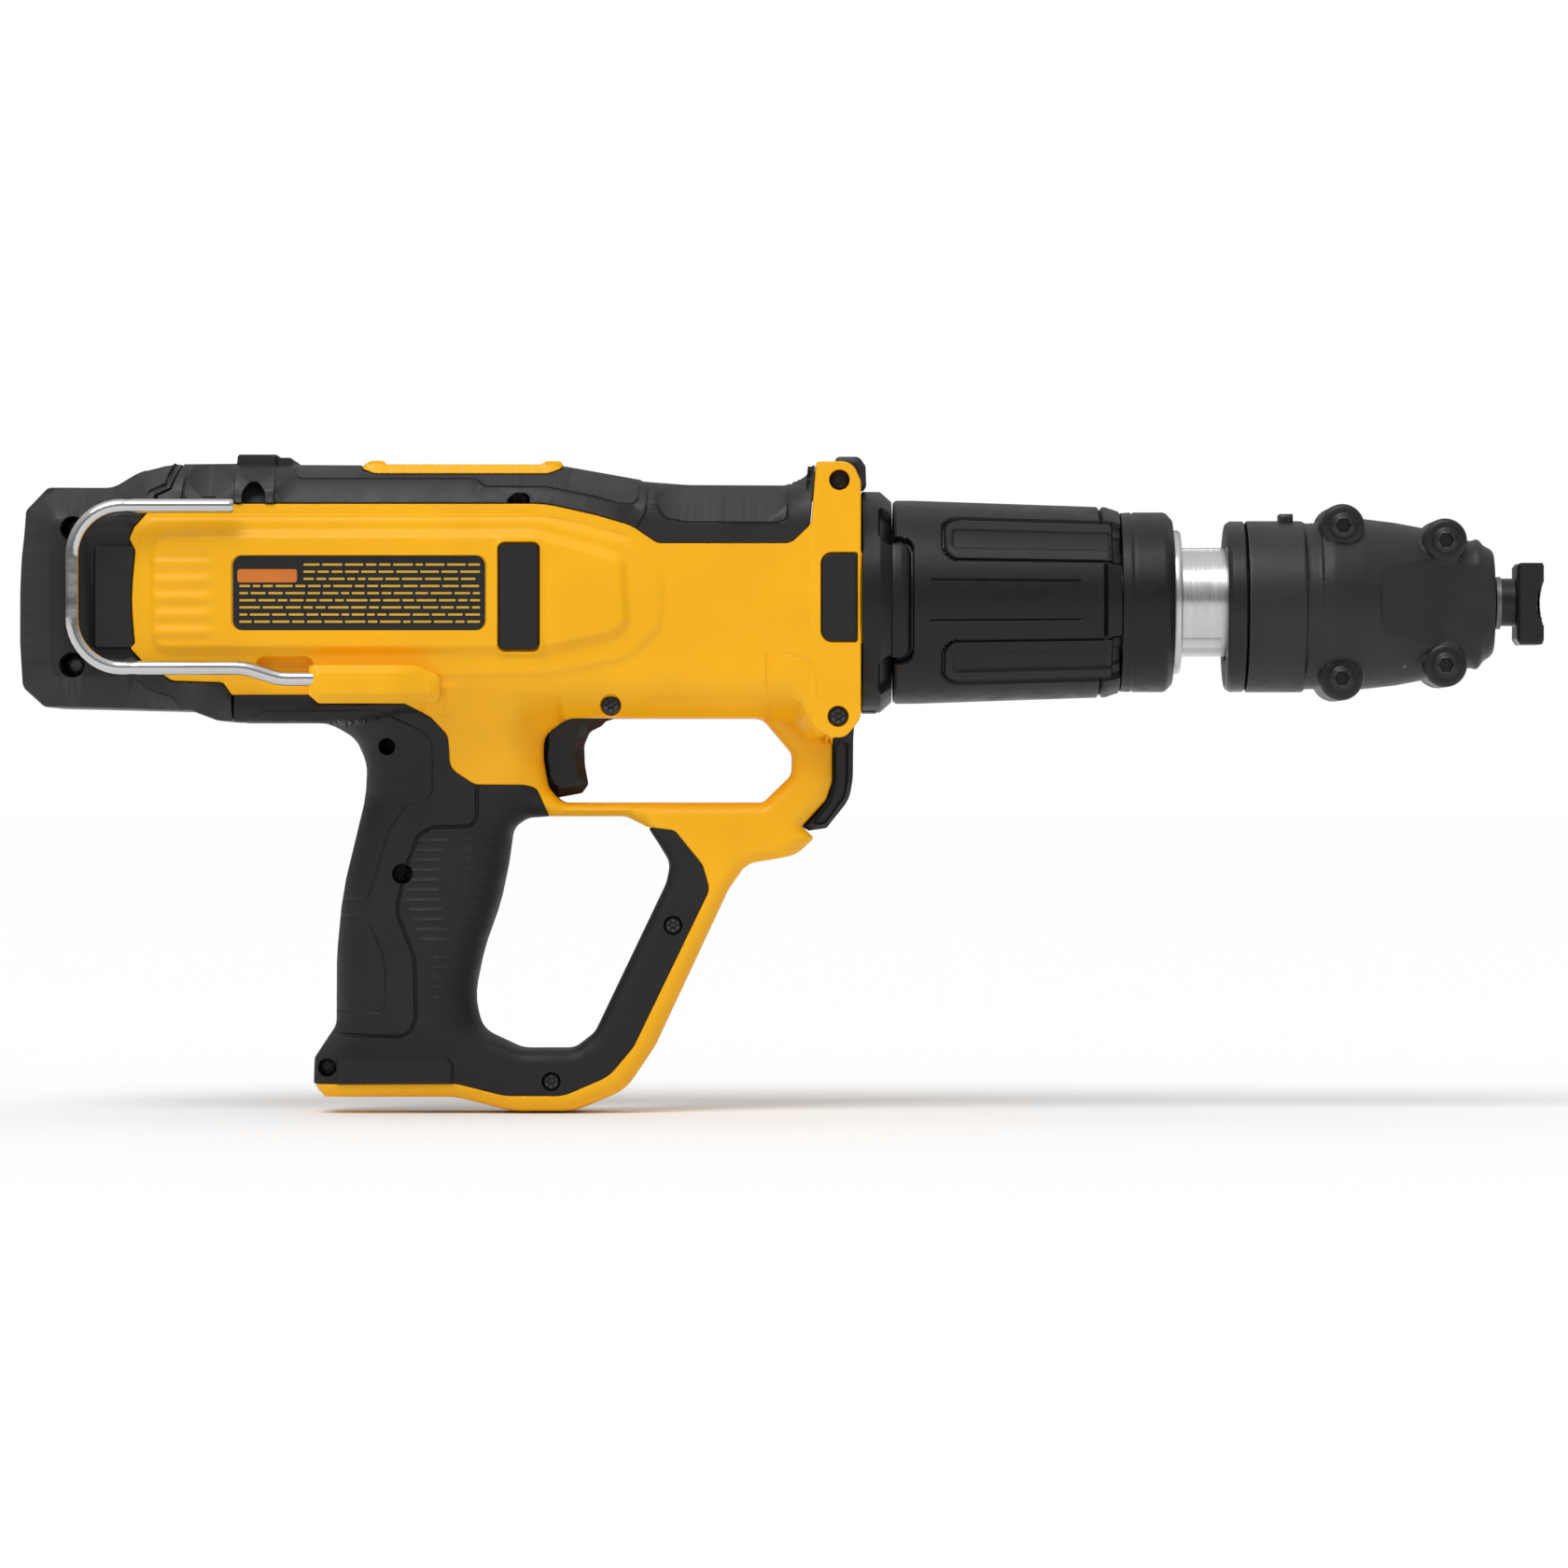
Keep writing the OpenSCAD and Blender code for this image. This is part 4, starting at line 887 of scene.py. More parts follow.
# %% The plate's print: rows of short bars
dice = np.random.default_rng(7)
bars = []
for row in range(9):
    z = 10.6 - 2.16 * row
    x = -397.4 if row > 2 else -378.0
    while x < -326:
        long = float(dice.uniform(2.2, 6.5))
        long = min(long, -324.6 - x)
        if long > 1.2:
            bars.append(rounded([(x, z + 0.34), (x + long, z + 0.34), (x + long, z - 0.34),
                                 (x, z - 0.34)], 0.2))
        x += long + 0.8


def printed(bar):
    """A thin slab of ink over one outline."""
    top = plate_height(bar) + 0.14
    n = len(bar)
    verts = [(b[0], -t, b[1]) for b, t in zip(bar, top)]
    verts += [(b[0], -t + 0.1, b[1]) for b, t in zip(bar, top)]
    flip = turning(bar) < 0
    rim = [(k, (k + 1) % n) for k in range(n)]
    if flip:
        rim = [(b, a) for a, b in rim]
    cap = tuple(range(n))[::-1 if flip else 1]
    return verts, ([cap, tuple(i + n for i in cap[::-1])]
                   + [(a, a + n, b + n, b) for a, b in rim])


piece("plate_print", *joined(*[printed(bar) for bar in bars]), PLATE_INK, "housing", None,
      "printed_plate")
flag = rounded([(-398, 9.2), (-380, 9.2), (-380, 5.2), (-398, 5.2)], 0.8)
piece("plate_flag", *printed(flag), PLATE_FLAG, "housing", None, "printed_plate")

# %% [markdown]
# Trigger, lever and latch are small closed mouldings: one outline with well-rounded edges,
# mirrored on the middle plane. Trigger and lever are glossier than the shells.

# %% Trigger, release lever and collar latch
TRIGGER = rounded([
    (-307, -37, 1), (-300, -29, 3), (-288, -22.3, 2), (-283, -25, 3), (-281, -30, 3),
    (-281.8, -34.8, 2), (-287.3, -36.6, 0.6), (-288.6, -38, 1.5), (-292.2, -39.8, 3),
    (-294, -44, 5), (-293.8, -50, 8), (-292.7, -56, 1.6), (-294.6, -58.6, 1.5),
    (-302, -60, 1.5), (-306.5, -56, 5), (-307.6, -48, 10)])
LEVER = rounded([
    (-219, -41.8, 0.4), (-220.6, -40.4, 1), (-221.2, -36, 4), (-219.4, -31.4, 3),
    (-216.2, -30.2, 3), (-212.9, -31.4, 3), (-210.9, -35.3, 4), (-211.4, -42, 2),
    (-211.5, -54, 12), (-212.6, -60.5, 10), (-219.6, -69.3, 1.2), (-225, -70.1, 0.8),
    (-227.2, -68.9, 0.6), (-220.8, -61.6, 4), (-219, -56, 6)])
LEVER_PAD = rounded([(-217, -43), (-213.2, -43), (-213.4, -55), (-214.2, -59.6), (-220, -67.6),
                     (-224.4, -68.4), (-218.6, -61.4), (-217, -56)], 2)
LATCH = rounded([
    (-217.3, 41.4, 0.6), (-216.6, 44.4, 1.4), (-209.6, 44.4, 2.2), (-207.6, 41.5, 1.5),
    (-207.4, 35.4, 0.6), (-208.3, 34.3, 0.4), (-211.3, 34.6, 0.3), (-212.7, 33.3, 1),
    (-216, 32.8, 2), (-219.3, 35, 2), (-219.1, 39, 2)])


def small_part(name, outline, half_width, radius, mat, body, node, slot, extra=None, rows=()):
    """One closed outline with rounded edges, mirrored and welded on the middle plane."""
    def width(p):
        y = half_width - drop(np.maximum(depth_in(p, outline), 0), radius)
        return y + extra(p) if extra else y
    shape = relief([outline], width, [(outline, True, edge_rows(radius, 6))] + list(rows),
                   0.6, lambda p: 0 * p[:, 0], 0.02, 5)
    obj = piece(name, *joined(shape, mirrored(*shape)), mat, body, node, slot)
    weld = obj.modifiers.new("weld", "WELD")
    weld.merge_threshold = 0.00001
    bake_modifiers(obj)
    obj.data.set_sharp_from_angle(angle=math.radians(40))
    return obj


small_part("trigger", TRIGGER, 5.8, 2.4, TRIGGER_GLOSS, "trigger", "trigger", "black_nylon")
small_part("release_lever", LEVER, 9.9, 1.2, TRIGGER_GLOSS, "release_lever", "release_lever",
           "black_nylon", lambda p: -raised(p, LEVER_PAD, 0.9, 0.8),
           [(LEVER_PAD, True, [-0.4, 0, 0.4])])
small_part("collar_latch", LATCH, 8.9, 1.1, BLACK_NYLON, "collar_latch", "collar_latch",
           "black_nylon")

# %% [markdown]
# Screws have a low round head and a six-lobed driver recess. One polar grid makes the head:
# its rings step down into the recess where the radius is inside the lobes.


# %% Screw heads and socket bolts
def head(x, z, y_face, r, deep, lobes=True, side=-1, dome=0.3, socket=0.5, below=1.2):
    """A round head whose face is at half width y_face, with a driver recess."""
    turns = 48
    t = np.arange(turns) * 2 * math.pi / turns
    if lobes:
        shape = r * socket * (1 + 0.16 * np.cos(6 * t))
    else:
        shape = r * socket / np.cos((t % (math.pi / 3)) - math.pi / 6)
    rings = [(shape * 0.02, -deep * 1.1), (shape * 0.6, -deep * 1.02), (shape * 0.96, -deep),
             (shape, -deep * 0.2), (shape * 1.06, 0.0)]
    rings += [(r * k + 0 * t, -dome * (k * k)) for k in (0.8, 0.9)]
    rings += [(r * 0.96 + 0 * t, -dome - 0.12), (r + 0 * t, -dome - 0.4),
              (r + 0 * t, -below - dome)]
    verts = []
    for radius, lift in rings:
        for a, q in zip(t, radius):
            verts.append((x + q * math.cos(a), side * (y_face + lift), z + q * math.sin(a)))
    faces = ring_faces(len(rings), turns)
    return verts, faces if side < 0 else [f[::-1] for f in faces]


def shank(x, z, y0, y1, r):
    t = np.arange(24) * 2 * math.pi / 24
    verts = [(x + r * math.cos(a), y, z + r * math.sin(a)) for y in (y0, y1) for a in t]
    return verts, ring_faces(2, 24)


def at(x, z, f=housing_width):
    return float(f(np.array([[x, z]]))[0])


GRIP_SCREWS = [(-266.5, -99.0, 13.2), (-303.7, -146.7, 13.0), (-353.6, -44.4, 9.6),
               (-349.0, -83.2, 8.6), (-372.2, -142.4, 8.6)]
screws = [head(x, z, y, 2.6, 1.0) for x, z, y in GRIP_SCREWS]
screws += [shank(x, z, -y + 1.2, 12, 1.6) for x, z, y in GRIP_SCREWS]
for x in (-393.4, -313.0):
    for side in (-1, 1):
        screws.append(head(x, 30.2, 25.6, 2.6, 1.0, side=side))
piece("housing_screws", *joined(*screws), BLACK_OXIDE, "housing", "housing_screws",
      "black_oxide")
caps = [head(-448.2, z, 20.0, 3.3, 1.4) for z in (21.7, -19.7)]
caps += [shank(-448.2, z, -19, 24, 2) for z in (21.7, -19.7)]
piece("rear_cap_screws", *joined(*caps), BLACK_OXIDE, "housing", "rear_cap_screws",
      "black_oxide")
pin_y, lever_y = at(-285.2, -31.8) + 2.3, at(-216.2, -35.3) + 2.3
pin = [head(-285.2, -31.8, pin_y, 2.8, 1.0), shank(-285.2, -31.8, -pin_y + 1.2, 22, 2.4)]
piece("trigger_pin", *joined(*pin), BLACK_OXIDE, "housing", "trigger_pin", "black_oxide")
pin = [head(-216.2, -35.3, lever_y, 2.8, 1.0), shank(-216.2, -35.3, -lever_y + 1.2, 26, 2.4)]
piece("lever_screw", *joined(*pin), BLACK_OXIDE, "housing", "lever_screw", "black_oxide")

latch_y = at(-215.8, 36.4) + 9.0 - 3.2
pin = [head(-215.8, 36.4, latch_y, 2.75, 1.4, lobes=False, side=side) for side in (-1, 1)]
pin += [shank(-215.8, 36.4, -latch_y + 1.2, latch_y - 1.2, 1.9)]
piece("latch_pin", *joined(*pin), TRIGGER_GLOSS, "housing", "latch_pin", "satin_steel")

# %% [markdown]
# Everything round the barrel is turned: a profile swept about the bore. A grid of rings
# around the axis lets grooves, flats and teeth push the radius in or out.


# %% The turned-part builder
def turned(name, profile, mat, body, node, slot, step=0.8, around=240, shape=None, centre=0.0,
           fresh=False):
    path = walk(np.array(profile, float), step, True)
    t = np.arange(around) * 2 * math.pi / around
    x = np.repeat(path[:, :1], around, 1)
    r = np.repeat(path[:, 1:], around, 1)
    tt = np.repeat(t[None, :], len(path), 0)
    if shape:
        x, r = shape(x, r, tt)
    y, z = -r * np.cos(tt), r * np.sin(tt) + centre
    verts = np.stack([x.ravel(), y.ravel(), z.ravel()], 1)
    k, j = np.meshgrid(np.arange(len(path)), np.arange(around), indexing="ij")
    k2, j2 = (k + 1) % len(path), (j + 1) % around
    quads = np.stack([k * around + j, k * around + j2, k2 * around + j2, k2 * around + j],
                     -1).reshape(-1, 4)
    if turning(path) < 0:
        quads = quads[:, ::-1]
    if fresh:
        return verts, [tuple(q) for q in quads]
    return piece(name, verts, quads, mat, body, node, slot, 35)


def box_gap(x, u, cx, cu, hx, hu, r):
    """Signed depth inside a rounded box in the unrolled surface."""
    qx, qu = np.abs(x - cx) - (hx - r), np.abs(u - cu) - (hu - r)
    out = np.hypot(np.maximum(qx, 0), np.maximum(qu, 0)) + np.minimum(np.maximum(qx, qu), 0) - r
    return -out


def side_angle(t):
    """Angle up from the nearest side of the tool."""
    return np.arctan2(np.sin(t), np.abs(np.cos(t)))


# %% Sleeve: four long grooves, each with a slot inside it, between smooth panels
def sleeve_shape(x, r, t):
    a = side_angle(t)
    u = np.abs(a) * 30.0
    cut = 0 * r
    long = box_gap(x, u, -153, 20.6, 31.5, 8.4, 5.5)
    cut += 1.25 * ease((0.65 - np.abs(long - 0.2)) / 0.4)
    cut += 0.55 * ease((long - 0.6) / 0.6)
    slot = box_gap(x, u, -150, 20.6, 31.4, 3.6, 1.6)
    cut += 0.8 * ease(slot / 0.5 + 0.5)
    ends = np.where(u < 12.2, -134.7, -136.0)
    flat = (u < 12.2) | (u > 29)
    cut += np.where(flat, 1.1, 0) * ease((0.62 - np.abs(x - ends)) / 0.35)
    dark = box_gap(x, u, -131.2, 21, 1.6, 9.0, 0.8)
    cut += 1.3 * ease(dark / 0.4 + 0.5)
    notch = box_gap(x, u, -198, 0, 4.6, 19.9, 4.0)
    cut += 2.2 * ease(notch / 0.25 + 0.5)
    lines = np.minimum(np.abs(np.abs(a * 30) - 6.1), 9)
    band = (x > -188) & (x < -142)
    cut += np.where(band, 0.5, 0) * ease((0.45 - lines) / 0.25)
    return x, np.where(r > 27.0, r - cut, r)


SLEEVE = rounded([(-199.2, 24.6, 0.2), (-199.2, 30.6, 0.5), (-198.2, 31.2, 0.4),
                       (-193, 31.2, 2), (-137, 29.3, 1), (-134, 29.2, 1), (-129.9, 27.8, 0.5),
                       (-129.9, 24.6, 0.2)], 0.4)
turned("sleeve", SLEEVE, SLEEVE_NYLON, "sleeve_group", "sleeve", "black_nylon", 0.5, 400,
       sleeve_shape)


# %% Collar with its tongue into the sleeve
def collar_shape(x, r, t):
    u = np.abs(side_angle(t)) * 31.0
    pocket = box_gap(x, u, -200.2, 24.5, 3.4, 6.8, 2.4)
    outer = r > 28
    cut = 3.0 * ease(pocket / 0.4 + 0.5)
    lug = (np.abs(t - 1.5 * math.pi) < 0.16) & (x < -204.4) & outer
    return x, np.where(outer, r - cut, r) + np.where(lug, 0.35, 0)


COLLAR = rounded([(-221.8, 24.2, 0.3), (-221.8, 26.9, 0.3), (-209, 26.9, 0.1),
                       (-208.9, 33.9, 0.6), (-203.2, 33.9, 0.8), (-199.7, 30.8, 0.5),
                       (-199.7, 24.2, 0.2)], 0.3)
ring = turned("collar", COLLAR, SLEEVE_NYLON, "sleeve_group", "collar", "black_nylon", 0.6,
              360, collar_shape, fresh=True)


def tongue(side):
    """A thin curved tab in the sleeve's notch, rounded at its free corners."""
    tab = rounded([(-200.5, -18.6, 0.3), (-194, -18.6, 4.4), (-194, 18.6, 4.4),
                   (-200.5, 18.6, 0.3)])
    area = depth_in_all([tab])
    outline = walk(tab, 0.6)
    pts = scatter([outline], [(tab, True, edge_rows(1.4, 5))], 0.7, area)
    n = len(outline)
    flat, tri, _ = triangles(pts, [(k, (k + 1) % n) for k in range(n)], area)
    a = flat[:, 1] / 30.5
    r = 31.3 - drop(np.maximum(area(flat), 0), 1.4) - 0.9 * ease((flat[:, 0] + 197) / 3)
    verts = [(x, side * q * math.cos(b), q * math.sin(b)) for x, q, b in zip(flat[:, 0], r, a)]
    verts += [(x, side * 28.6 * math.cos(b), 28.6 * math.sin(b)) for x, b in zip(flat[:, 0], a)]
    m = len(flat)
    faces = [tuple(f) for f in tri] + [tuple(i + m for i in f[::-1]) for f in tri]
    faces += [(j, j + m, (j + 1) % n + m, (j + 1) % n) for j in range(n)]
    return verts, [f if side < 0 else f[::-1] for f in faces]


piece("collar", *joined(ring, tongue(-1), tongue(1)), SLEEVE_NYLON, "sleeve_group", "collar",
      "black_nylon", 35)

# %% End ring and wiper ring
END_RING = rounded([(-129.6, 23.4, 0.2), (-129.6, 27.4, 0.4), (-126, 27.6, 2),
                         (-115.8, 27.6, 2.2), (-113.6, 25.2, 0.6), (-113.6, 19.2, 0.3),
                         (-116.4, 19.2, 0.3), (-119, 23.4, 0.5)])
turned("end_ring", END_RING, SLEEVE_NYLON, "sleeve_group", "end_ring", "black_nylon", 0.6, 240,
       lambda x, r, t: (x, r - np.where(r > 27, 0.35, 0) * ease((0.5 - np.abs(x + 126)) / 0.3)))
WIPER = rounded([(-113.5, 17.1, 0.1), (-113.5, 22.1, 0.1), (-111.8, 22.1, 0.3),
                      (-111.1, 21.5, 0.2), (-111.1, 17.1, 0.2)], 0.2)
turned("wiper_ring", WIPER, SATIN_STEEL, "sleeve_group", "wiper_ring", "black_oxide", 0.5, 200)

# %% [markdown]
# The nose is a casting in two halves, held by four socket bolts in round bosses. Its round
# back flows into a squarer, narrowing front with a milled flat on each side. The shapes are
# merged with a fine voxel remesh, which leaves the soft fillets a casting has.

# %% Nose ring
NOSE_RING = rounded([(-97.4, 16.8, 0.2), (-97.4, 25.2, 1.1), (-95.9, 26.2, 0.5),
                          (-92, 26.2, 0.4), (-91.5, 25.6, 0.2), (-91.5, 16.8, 0.1)], 0.3)
turned("nose_ring", NOSE_RING, BOLT_STEEL, "nose", "nose_ring", "black_oxide", 0.5, 200,
       centre=-1.35)


# %% Nose casting
def lofted(stations, around=120, flat=None):
    """Rings (x, half y, half z, centre z, squareness), closed at both ends."""
    st = np.array(stations, float)
    xs = np.linspace(st[0, 0], st[-1, 0], max(2, int((st[-1, 0] - st[0, 0]) / 0.8)))
    cols = [np.interp(xs, st[:, 0], st[:, c]) for c in range(1, 5)]
    t = np.arange(around) * 2 * math.pi / around
    verts = []
    for x, hy, hz, zc, n in zip(xs, *cols):
        c, s = np.cos(t), np.sin(t)
        y = hy * np.sign(c) * np.abs(c) ** (2 / n)
        z = hz * np.sign(s) * np.abs(s) ** (2 / n)
        if flat:
            y = np.clip(y, -flat(x), flat(x))
        verts += [(x, -a, b + zc) for a, b in zip(y, z)]
    return verts, ring_faces(len(xs), around)


def milled(x):
    if x < -50.5:
        return 60
    return 21.5 - 0.41 * (x + 50.5) if x < -31 else 13.5


NOSE_BODY = [(-91, 26.3, 26.3, -1.35, 2), (-73.6, 26.3, 26.3, -1.35, 2)]
NOSE_NECK = [(-74.4, 25.0, 25.4, -1.3, 2), (-67, 25.0, 25.6, -1.1, 2)]
NOSE_FRONT = [(-68.4, 25.6, 26.9, -0.5, 2.0), (-65, 25.8, 26.9, -0.5, 2.05),
              (-56, 24.4, 26.3, -0.55, 2.1), (-45, 21.2, 25.0, -0.6, 2.1),
              (-36, 18.4, 23.3, -0.6, 2.15), (-24.5, 15.6, 20.2, -0.7, 2.4),
              (-22, 15.2, 19.4, -0.7, 2.6), (-19.8, 15.0, 20.2, -0.6, 2.6),
              (-18.2, 14.6, 17.8, -0.4, 2.6), (-16, 14.2, 16.6, -0.2, 2.6),
              (-15.2, 13.6, 15.6, -0.2, 2.6)]
BOSSES = [(-62.3, 22.9), (-30.7, 18.6), (-62.7, -23.6), (-30.7, -19.5)]
BOSS_Y = [17.5, 14.5, 17.5, 14.5]


def boss_post(x, z, r, y):
    t = np.arange(48) * 2 * math.pi / 48
    rings = [(r - 0.6, -y), (r, -y + 0.6), (r, y - 0.6), (r - 0.6, y)]
    verts = [(x + q * math.cos(a), w, z + q * math.sin(a)) for q, w in rings for a in t]
    return verts, ring_faces(4, 48)


cast = [lofted(NOSE_BODY), lofted(NOSE_NECK), lofted(NOSE_FRONT, flat=milled)]
cast += [boss_post(x, z, 6.75, y) for (x, z), y in zip(BOSSES, BOSS_Y)]
nose = piece("nose_cast", *joined(*cast), CAST_NOSE, "nose", None, "cast_nose", fresh=True)
blend = nose.modifiers.new("merge", "REMESH")
blend.mode = "VOXEL"
blend.voxel_size = 0.0005
relax = nose.modifiers.new("relax", "SMOOTH")
relax.factor = 0.5
relax.iterations = 1
bake_modifiers(nose)
print("nose casting:", len(nose.data.vertices), "points")


# %% Split the casting on its middle plane, and bore it for the guide
def half_of(source, name, sign, node):
    obj = source.copy()
    obj.data = source.data.copy()
    obj.name = name
    obj.data.name = name
    bpy.context.scene.collection.objects.link(obj)
    cutter = piece("cutter", *box_shape(-100, -10, 0.04, 40, -40, 40, sign), CAST_NOSE, "nose",
                   None, "cast_nose", fresh=True)
    keep = obj.modifiers.new("half", "BOOLEAN")
    keep.operation = "INTERSECT"
    keep.solver = "EXACT"
    keep.object = cutter
    bore = piece("bore", *turned("bore", [(-95, 0.01), (-95, 12), (-66.5, 12), (-66.5, 9.1),
                                         (-10, 9.1), (-10, 0.01)], CAST_NOSE, "nose", None,
                                 "cast_nose", 4, 96, fresh=True), CAST_NOSE, "nose", None,
                 "cast_nose", fresh=True)
    cut = obj.modifiers.new("bore", "BOOLEAN")
    cut.operation = "DIFFERENCE"
    cut.solver = "EXACT"
    cut.object = bore
    bake_modifiers(obj)
    for tool in (cutter, bore):
        bpy.data.objects.remove(tool)
    obj.data.materials.clear()
    obj.data.materials.append(CAST_NOSE)
    obj.data.shade_smooth()
    obj.data.set_sharp_from_angle(angle=math.radians(50))
    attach(obj, "nose")
    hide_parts(node)
    print(name, len(obj.data.vertices))
    return obj


def box_shape(x0, x1, y0, y1, z0, z1, sign=1):
    ya, yb = sorted((sign * y0, sign * y1))
    v = [(x, y, z) for x in (x0, x1) for y in (ya, yb) for z in (z0, z1)]
    f = [(0, 1, 3, 2), (4, 6, 7, 5), (0, 4, 5, 1), (2, 3, 7, 6), (0, 2, 6, 4), (1, 5, 7, 3)]
    return v, f


half_of(nose, "nose_shell_right", -1, "nose_shell_right")
half_of(nose, "nose_shell_left", 1, "nose_shell_left")
bpy.data.objects.remove(nose)

# %% Socket bolts over their washers, and the top tab
bolts = []
for (x, z), y in zip(BOSSES, BOSS_Y):
    for side in (-1, 1):
        bolts.append(head(x, z, y + 1.7, 6.3, 0.2, lobes=False, side=side, dome=0.5, socket=0.5,
                          below=1.2))
        bolts.append(head(x, z, y + 3.4, 4.1, 2.2, lobes=False, side=side, dome=0.7, socket=0.48,
                          below=2.0))
piece("nose_bolts", *joined(*bolts), BOLT_STEEL, "nose", "nose_bolts", "black_oxide")
TAB = rounded([(-80.8, 22), (-80.8, 27), (-76.6, 27), (-76.6, 22)], 0.4)
small_part("nose_tab", TAB, 5.5, 0.6, BOLT_STEEL, "nose", "nose_tab", "black_oxide")


# %% [markdown]
# The fastener guide ends in a small head with two bevelled faces and a hollow, serrated
# mouth that bites the work. The head is a turned grid whose section goes from round to a
# rounded octagon, and its mouth rings carry the teeth.

# %% Fastener guide
def guide_shape(x, r, t):
    cy, cz = np.abs(np.cos(t)), np.sin(t)
    on_head = ease((x + 8.9) / 0.7) * (r > 4.4)
    top = np.where(cz > 0, 11.9, 13.1)
    flat_side = 9.4 / np.maximum(cy, 1e-6)
    flat_top = top / np.maximum(np.abs(cz), 1e-6)
    bevel = 15.4 / np.maximum(0.74 * np.abs(cz) + 0.68 * cy, 1e-6)
    block = np.minimum(np.minimum(flat_side, flat_top), bevel)
    r2 = np.where((r > 9.3) & (x > -8.8), np.minimum(r, 99) / 13.1 * block, r)
    z = r2 * np.sin(t)
    face = (x > -1.4) & (r > 4.2)
    hollow = -1.3 + 1.3 * np.clip(np.abs(z + 0.6) / 7.2, 0, 1) ** 2
    teeth = 0.16 * np.sin(9 * z) * (np.abs(z + 0.6) < 7)
    return np.where(face, hollow + teeth + np.minimum(x, 0), x), r2


GUIDE = rounded([(-91, 4.05, 0.1), (-91, 11.9, 0.3), (-67.2, 11.9, 0.3), (-67.2, 8.95, 0.2),
                      (-15, 8.95, 0.2), (-15, 7.3, 0.2), (-8.4, 7.3, 0.5), (-8.2, 11.8, 0.2),
                      (-7.2, 13.1, 0.5), (-0.6, 13.1, 0.4), (0, 12.2, 0.3), (0, 4.6, 0.4),
                      (-1.3, 4.02, 0.1)], 0.3)
turned("fastener_guide", GUIDE, BOLT_STEEL, "nose", "fastener_guide", "black_oxide", 0.7, 240,
       guide_shape)


# %% [markdown]
# The hook is one length of plated wire, bent twice and joggled into its boss. A circle is
# carried along a rounded path, and two staked marks pinch the wire where it was held.

# %% Hook
def wire(name, path, radius, mat, body, node, slot, marks=()):
    line = walk(path, 0.7, False)
    around = 24
    t = np.gradient(line, axis=0)
    t /= np.linalg.norm(t, axis=1)[:, None]
    a = np.arange(around) * 2 * math.pi / around
    verts = []
    n = len(line)
    for k, (p, d) in enumerate(zip(line, t)):
        side = np.array([-d[1], d[0]])
        end = min(k, n - 1 - k) * 0.7
        r = radius * (0.86 + 0.14 * min(1, end / 0.7))
        for m in marks:
            r -= 0.16 * math.exp(-(np.linalg.norm(p - np.array(m)) / 1.3) ** 2)
        for q in a:
            verts.append((p[0] + side[0] * r * math.sin(q), -38.5 - r * math.cos(q),
                          p[1] + side[1] * r * math.sin(q)))
    return piece(name, verts, ring_faces(n, around), mat, body, node, slot)


HOOK = curve([(-398.9, 28.2), (-447.6, 28.2, 15), (-447.6, -20.7, 15), (-395.5, -20.7, 16),
              (-385, -24, 16), (-347.5, -24)], 15)
wire("hook", HOOK, 2.15, CHROMED_WIRE, "hook", "hook", "chromed_wire",
     [(-431, 28.2), (-429.5, -20.7)])

# %% [markdown]
# A plain pale floor and one broad soft light above and in front, under a dome that is bright
# overhead and dim at the sides, so that rounded edges and steel get some contrast. The camera
# looks level at the tool's right-hand side, from far away, so that lines stay almost parallel.

# %% Floor, light and camera
scene = bpy.context.scene
floor_mat = bpy.data.materials.new("pale_floor")
floor_mat.use_nodes = True
floor_shader = floor_mat.node_tree.nodes["Principled BSDF"]
floor_shader.inputs["Base Color"].default_value = (0.95, 0.95, 0.95, 1)
floor_shader.inputs["Roughness"].default_value = 0.9
FLOOR_REACH = 20.0
floor_mesh = bpy.data.meshes.new("floor")
floor_mesh.from_pydata([(-FLOOR_REACH, -FLOOR_REACH, 0), (FLOOR_REACH, -FLOOR_REACH, 0),
                        (FLOOR_REACH, FLOOR_REACH, 0), (-FLOOR_REACH, FLOOR_REACH, 0)],
                       [], [(0, 1, 2, 3)])
floor_mesh.materials.append(floor_mat)
floor = bpy.data.objects.new("floor", floor_mesh)
floor.location = (0, 0, cad_box[0][2] - 0.0005)
scene.collection.objects.link(floor)

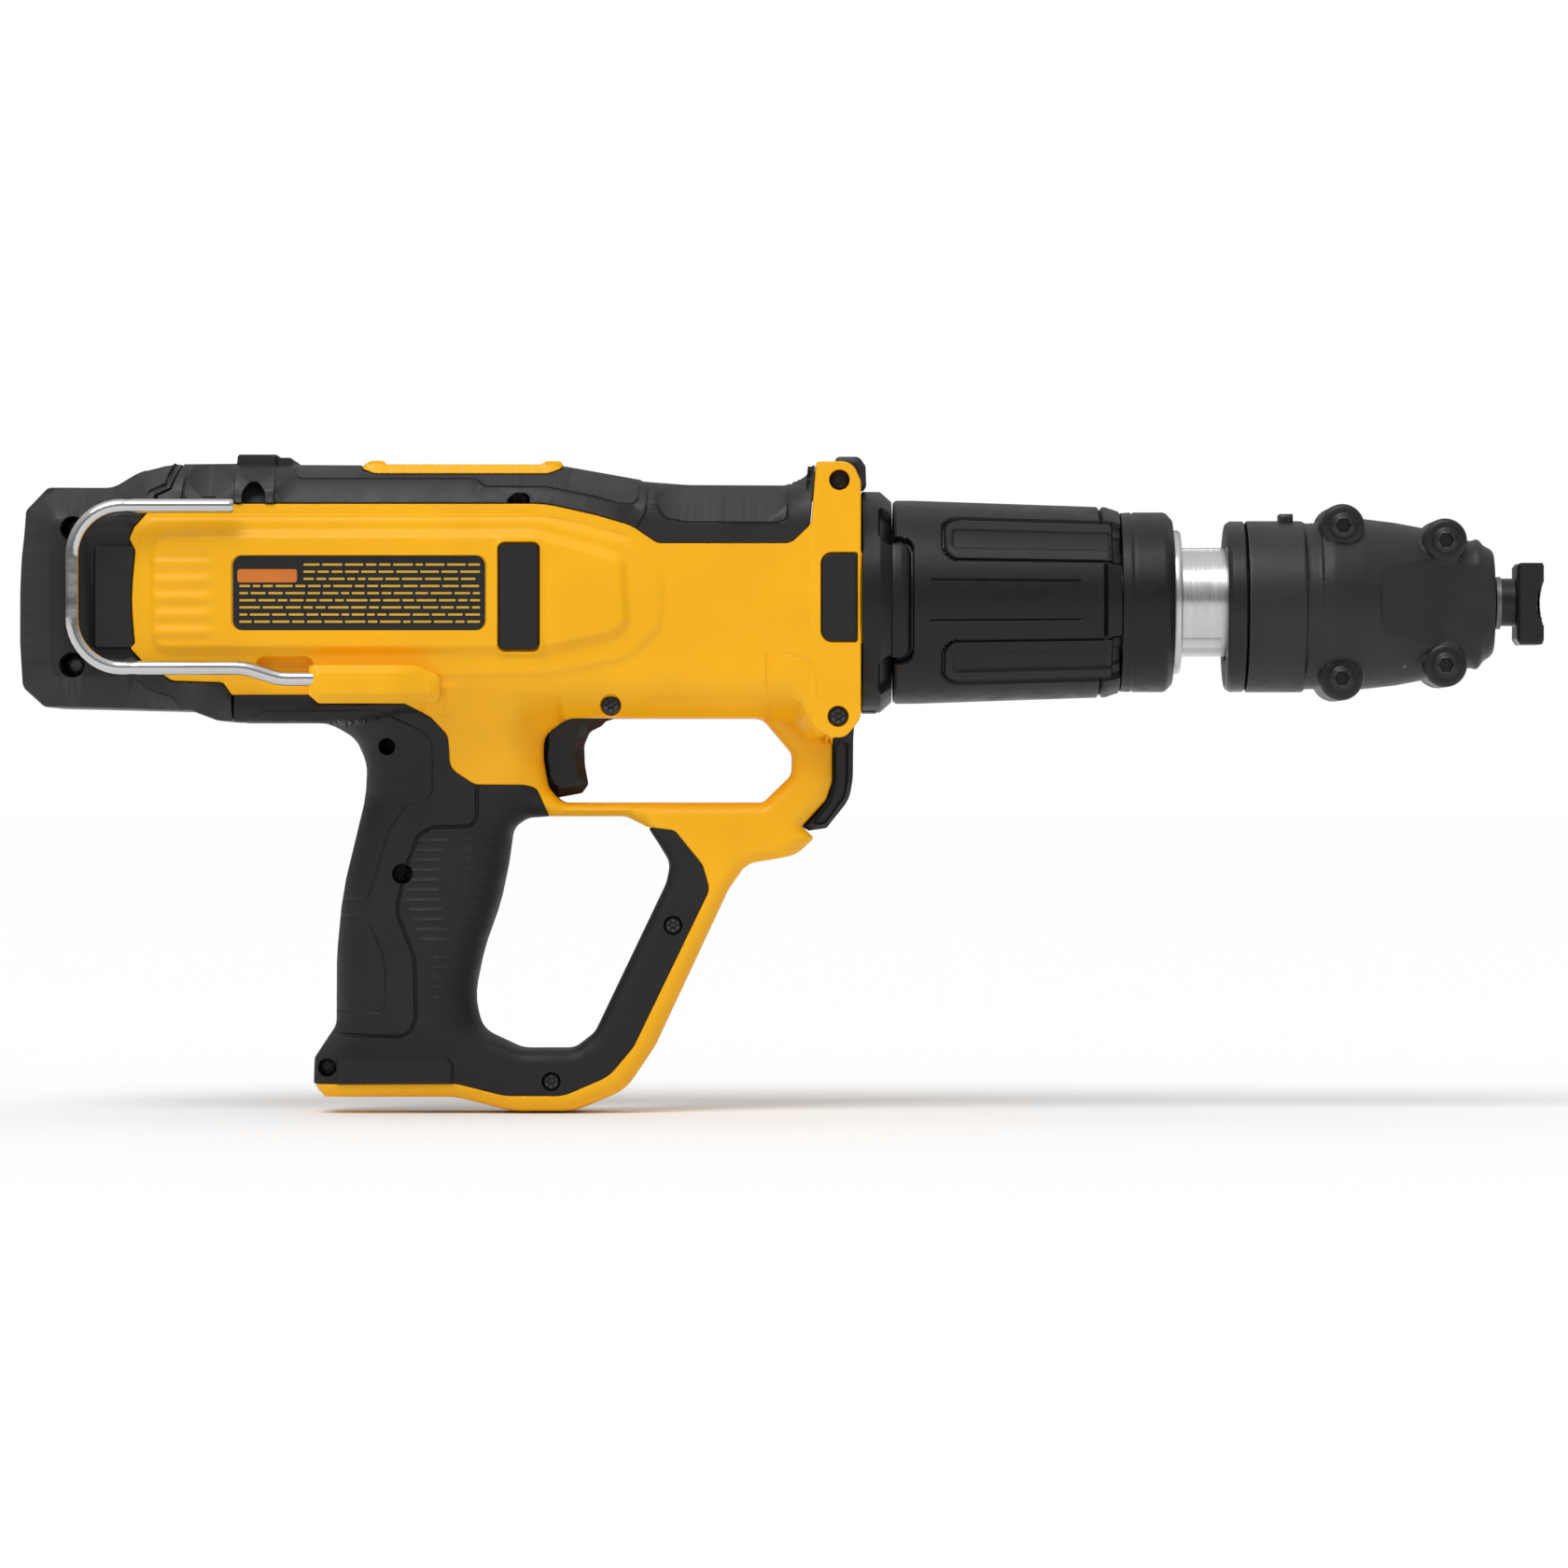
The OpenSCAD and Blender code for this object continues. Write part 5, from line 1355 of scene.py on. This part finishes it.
world = bpy.data.worlds.new("studio")
scene.world = world
world.use_nodes = True
sky, sky_links = world.node_tree.nodes, world.node_tree.links
dome = sky["Background"]
dome.inputs["Color"].default_value = (1, 1, 1, 1)
way = sky.new("ShaderNodeTexCoord")
height = sky.new("ShaderNodeSeparateXYZ")
sky_links.new(way.outputs["Generated"], height.inputs[0])
rise = sky.new("ShaderNodeMapRange")
rise.inputs["From Min"].default_value = 0.0
rise.inputs["From Max"].default_value = 1.0
rise.inputs["To Min"].default_value = 0.16
rise.inputs["To Max"].default_value = 0.95
sky_links.new(height.outputs["Z"], rise.inputs["Value"])
sky_links.new(rise.outputs["Result"], dome.inputs["Strength"])
backdrop = sky.new("ShaderNodeBackground")
backdrop.inputs["Color"].default_value = (1, 1, 1, 1)
backdrop.inputs["Strength"].default_value = 1.0
seen = sky.new("ShaderNodeLightPath")
pick = sky.new("ShaderNodeMixShader")
sky_links.new(seen.outputs["Is Camera Ray"], pick.inputs[0])
sky_links.new(dome.outputs[0], pick.inputs[1])
sky_links.new(backdrop.outputs[0], pick.inputs[2])
sky_links.new(pick.outputs[0], sky["World Output"].inputs["Surface"])

MIDDLE = (-0.2313, 0.0, -0.0558)


def soft_sun(name, place, strength, angle):
    data = bpy.data.lights.new(name, "SUN")
    data.energy, data.angle = strength, math.radians(angle)
    lamp = bpy.data.objects.new(name, data)
    lamp.rotation_euler = (-Vector(place)).to_track_quat("-Z", "Y").to_euler()
    scene.collection.objects.link(lamp)
    return lamp


soft_sun("overhead", (-0.35, -0.75, 1.15), 1.55, 35)

camera = bpy.data.cameras.new("camera")
eye = bpy.data.objects.new("camera", camera)
DISTANCE = 2.3
FRAME_WIDTH = 0.4754
camera.sensor_width = 36
camera.lens = 36 * (DISTANCE - 0.03) / FRAME_WIDTH
camera.clip_end = 100
eye.location = (MIDDLE[0], -DISTANCE, MIDDLE[2])
eye.rotation_euler = (math.pi / 2, 0, 0)
scene.collection.objects.link(eye)
scene.camera = eye
scene.view_settings.view_transform = "Standard"
scene.view_settings.look = "None"
print("camera lens", round(camera.lens, 1))
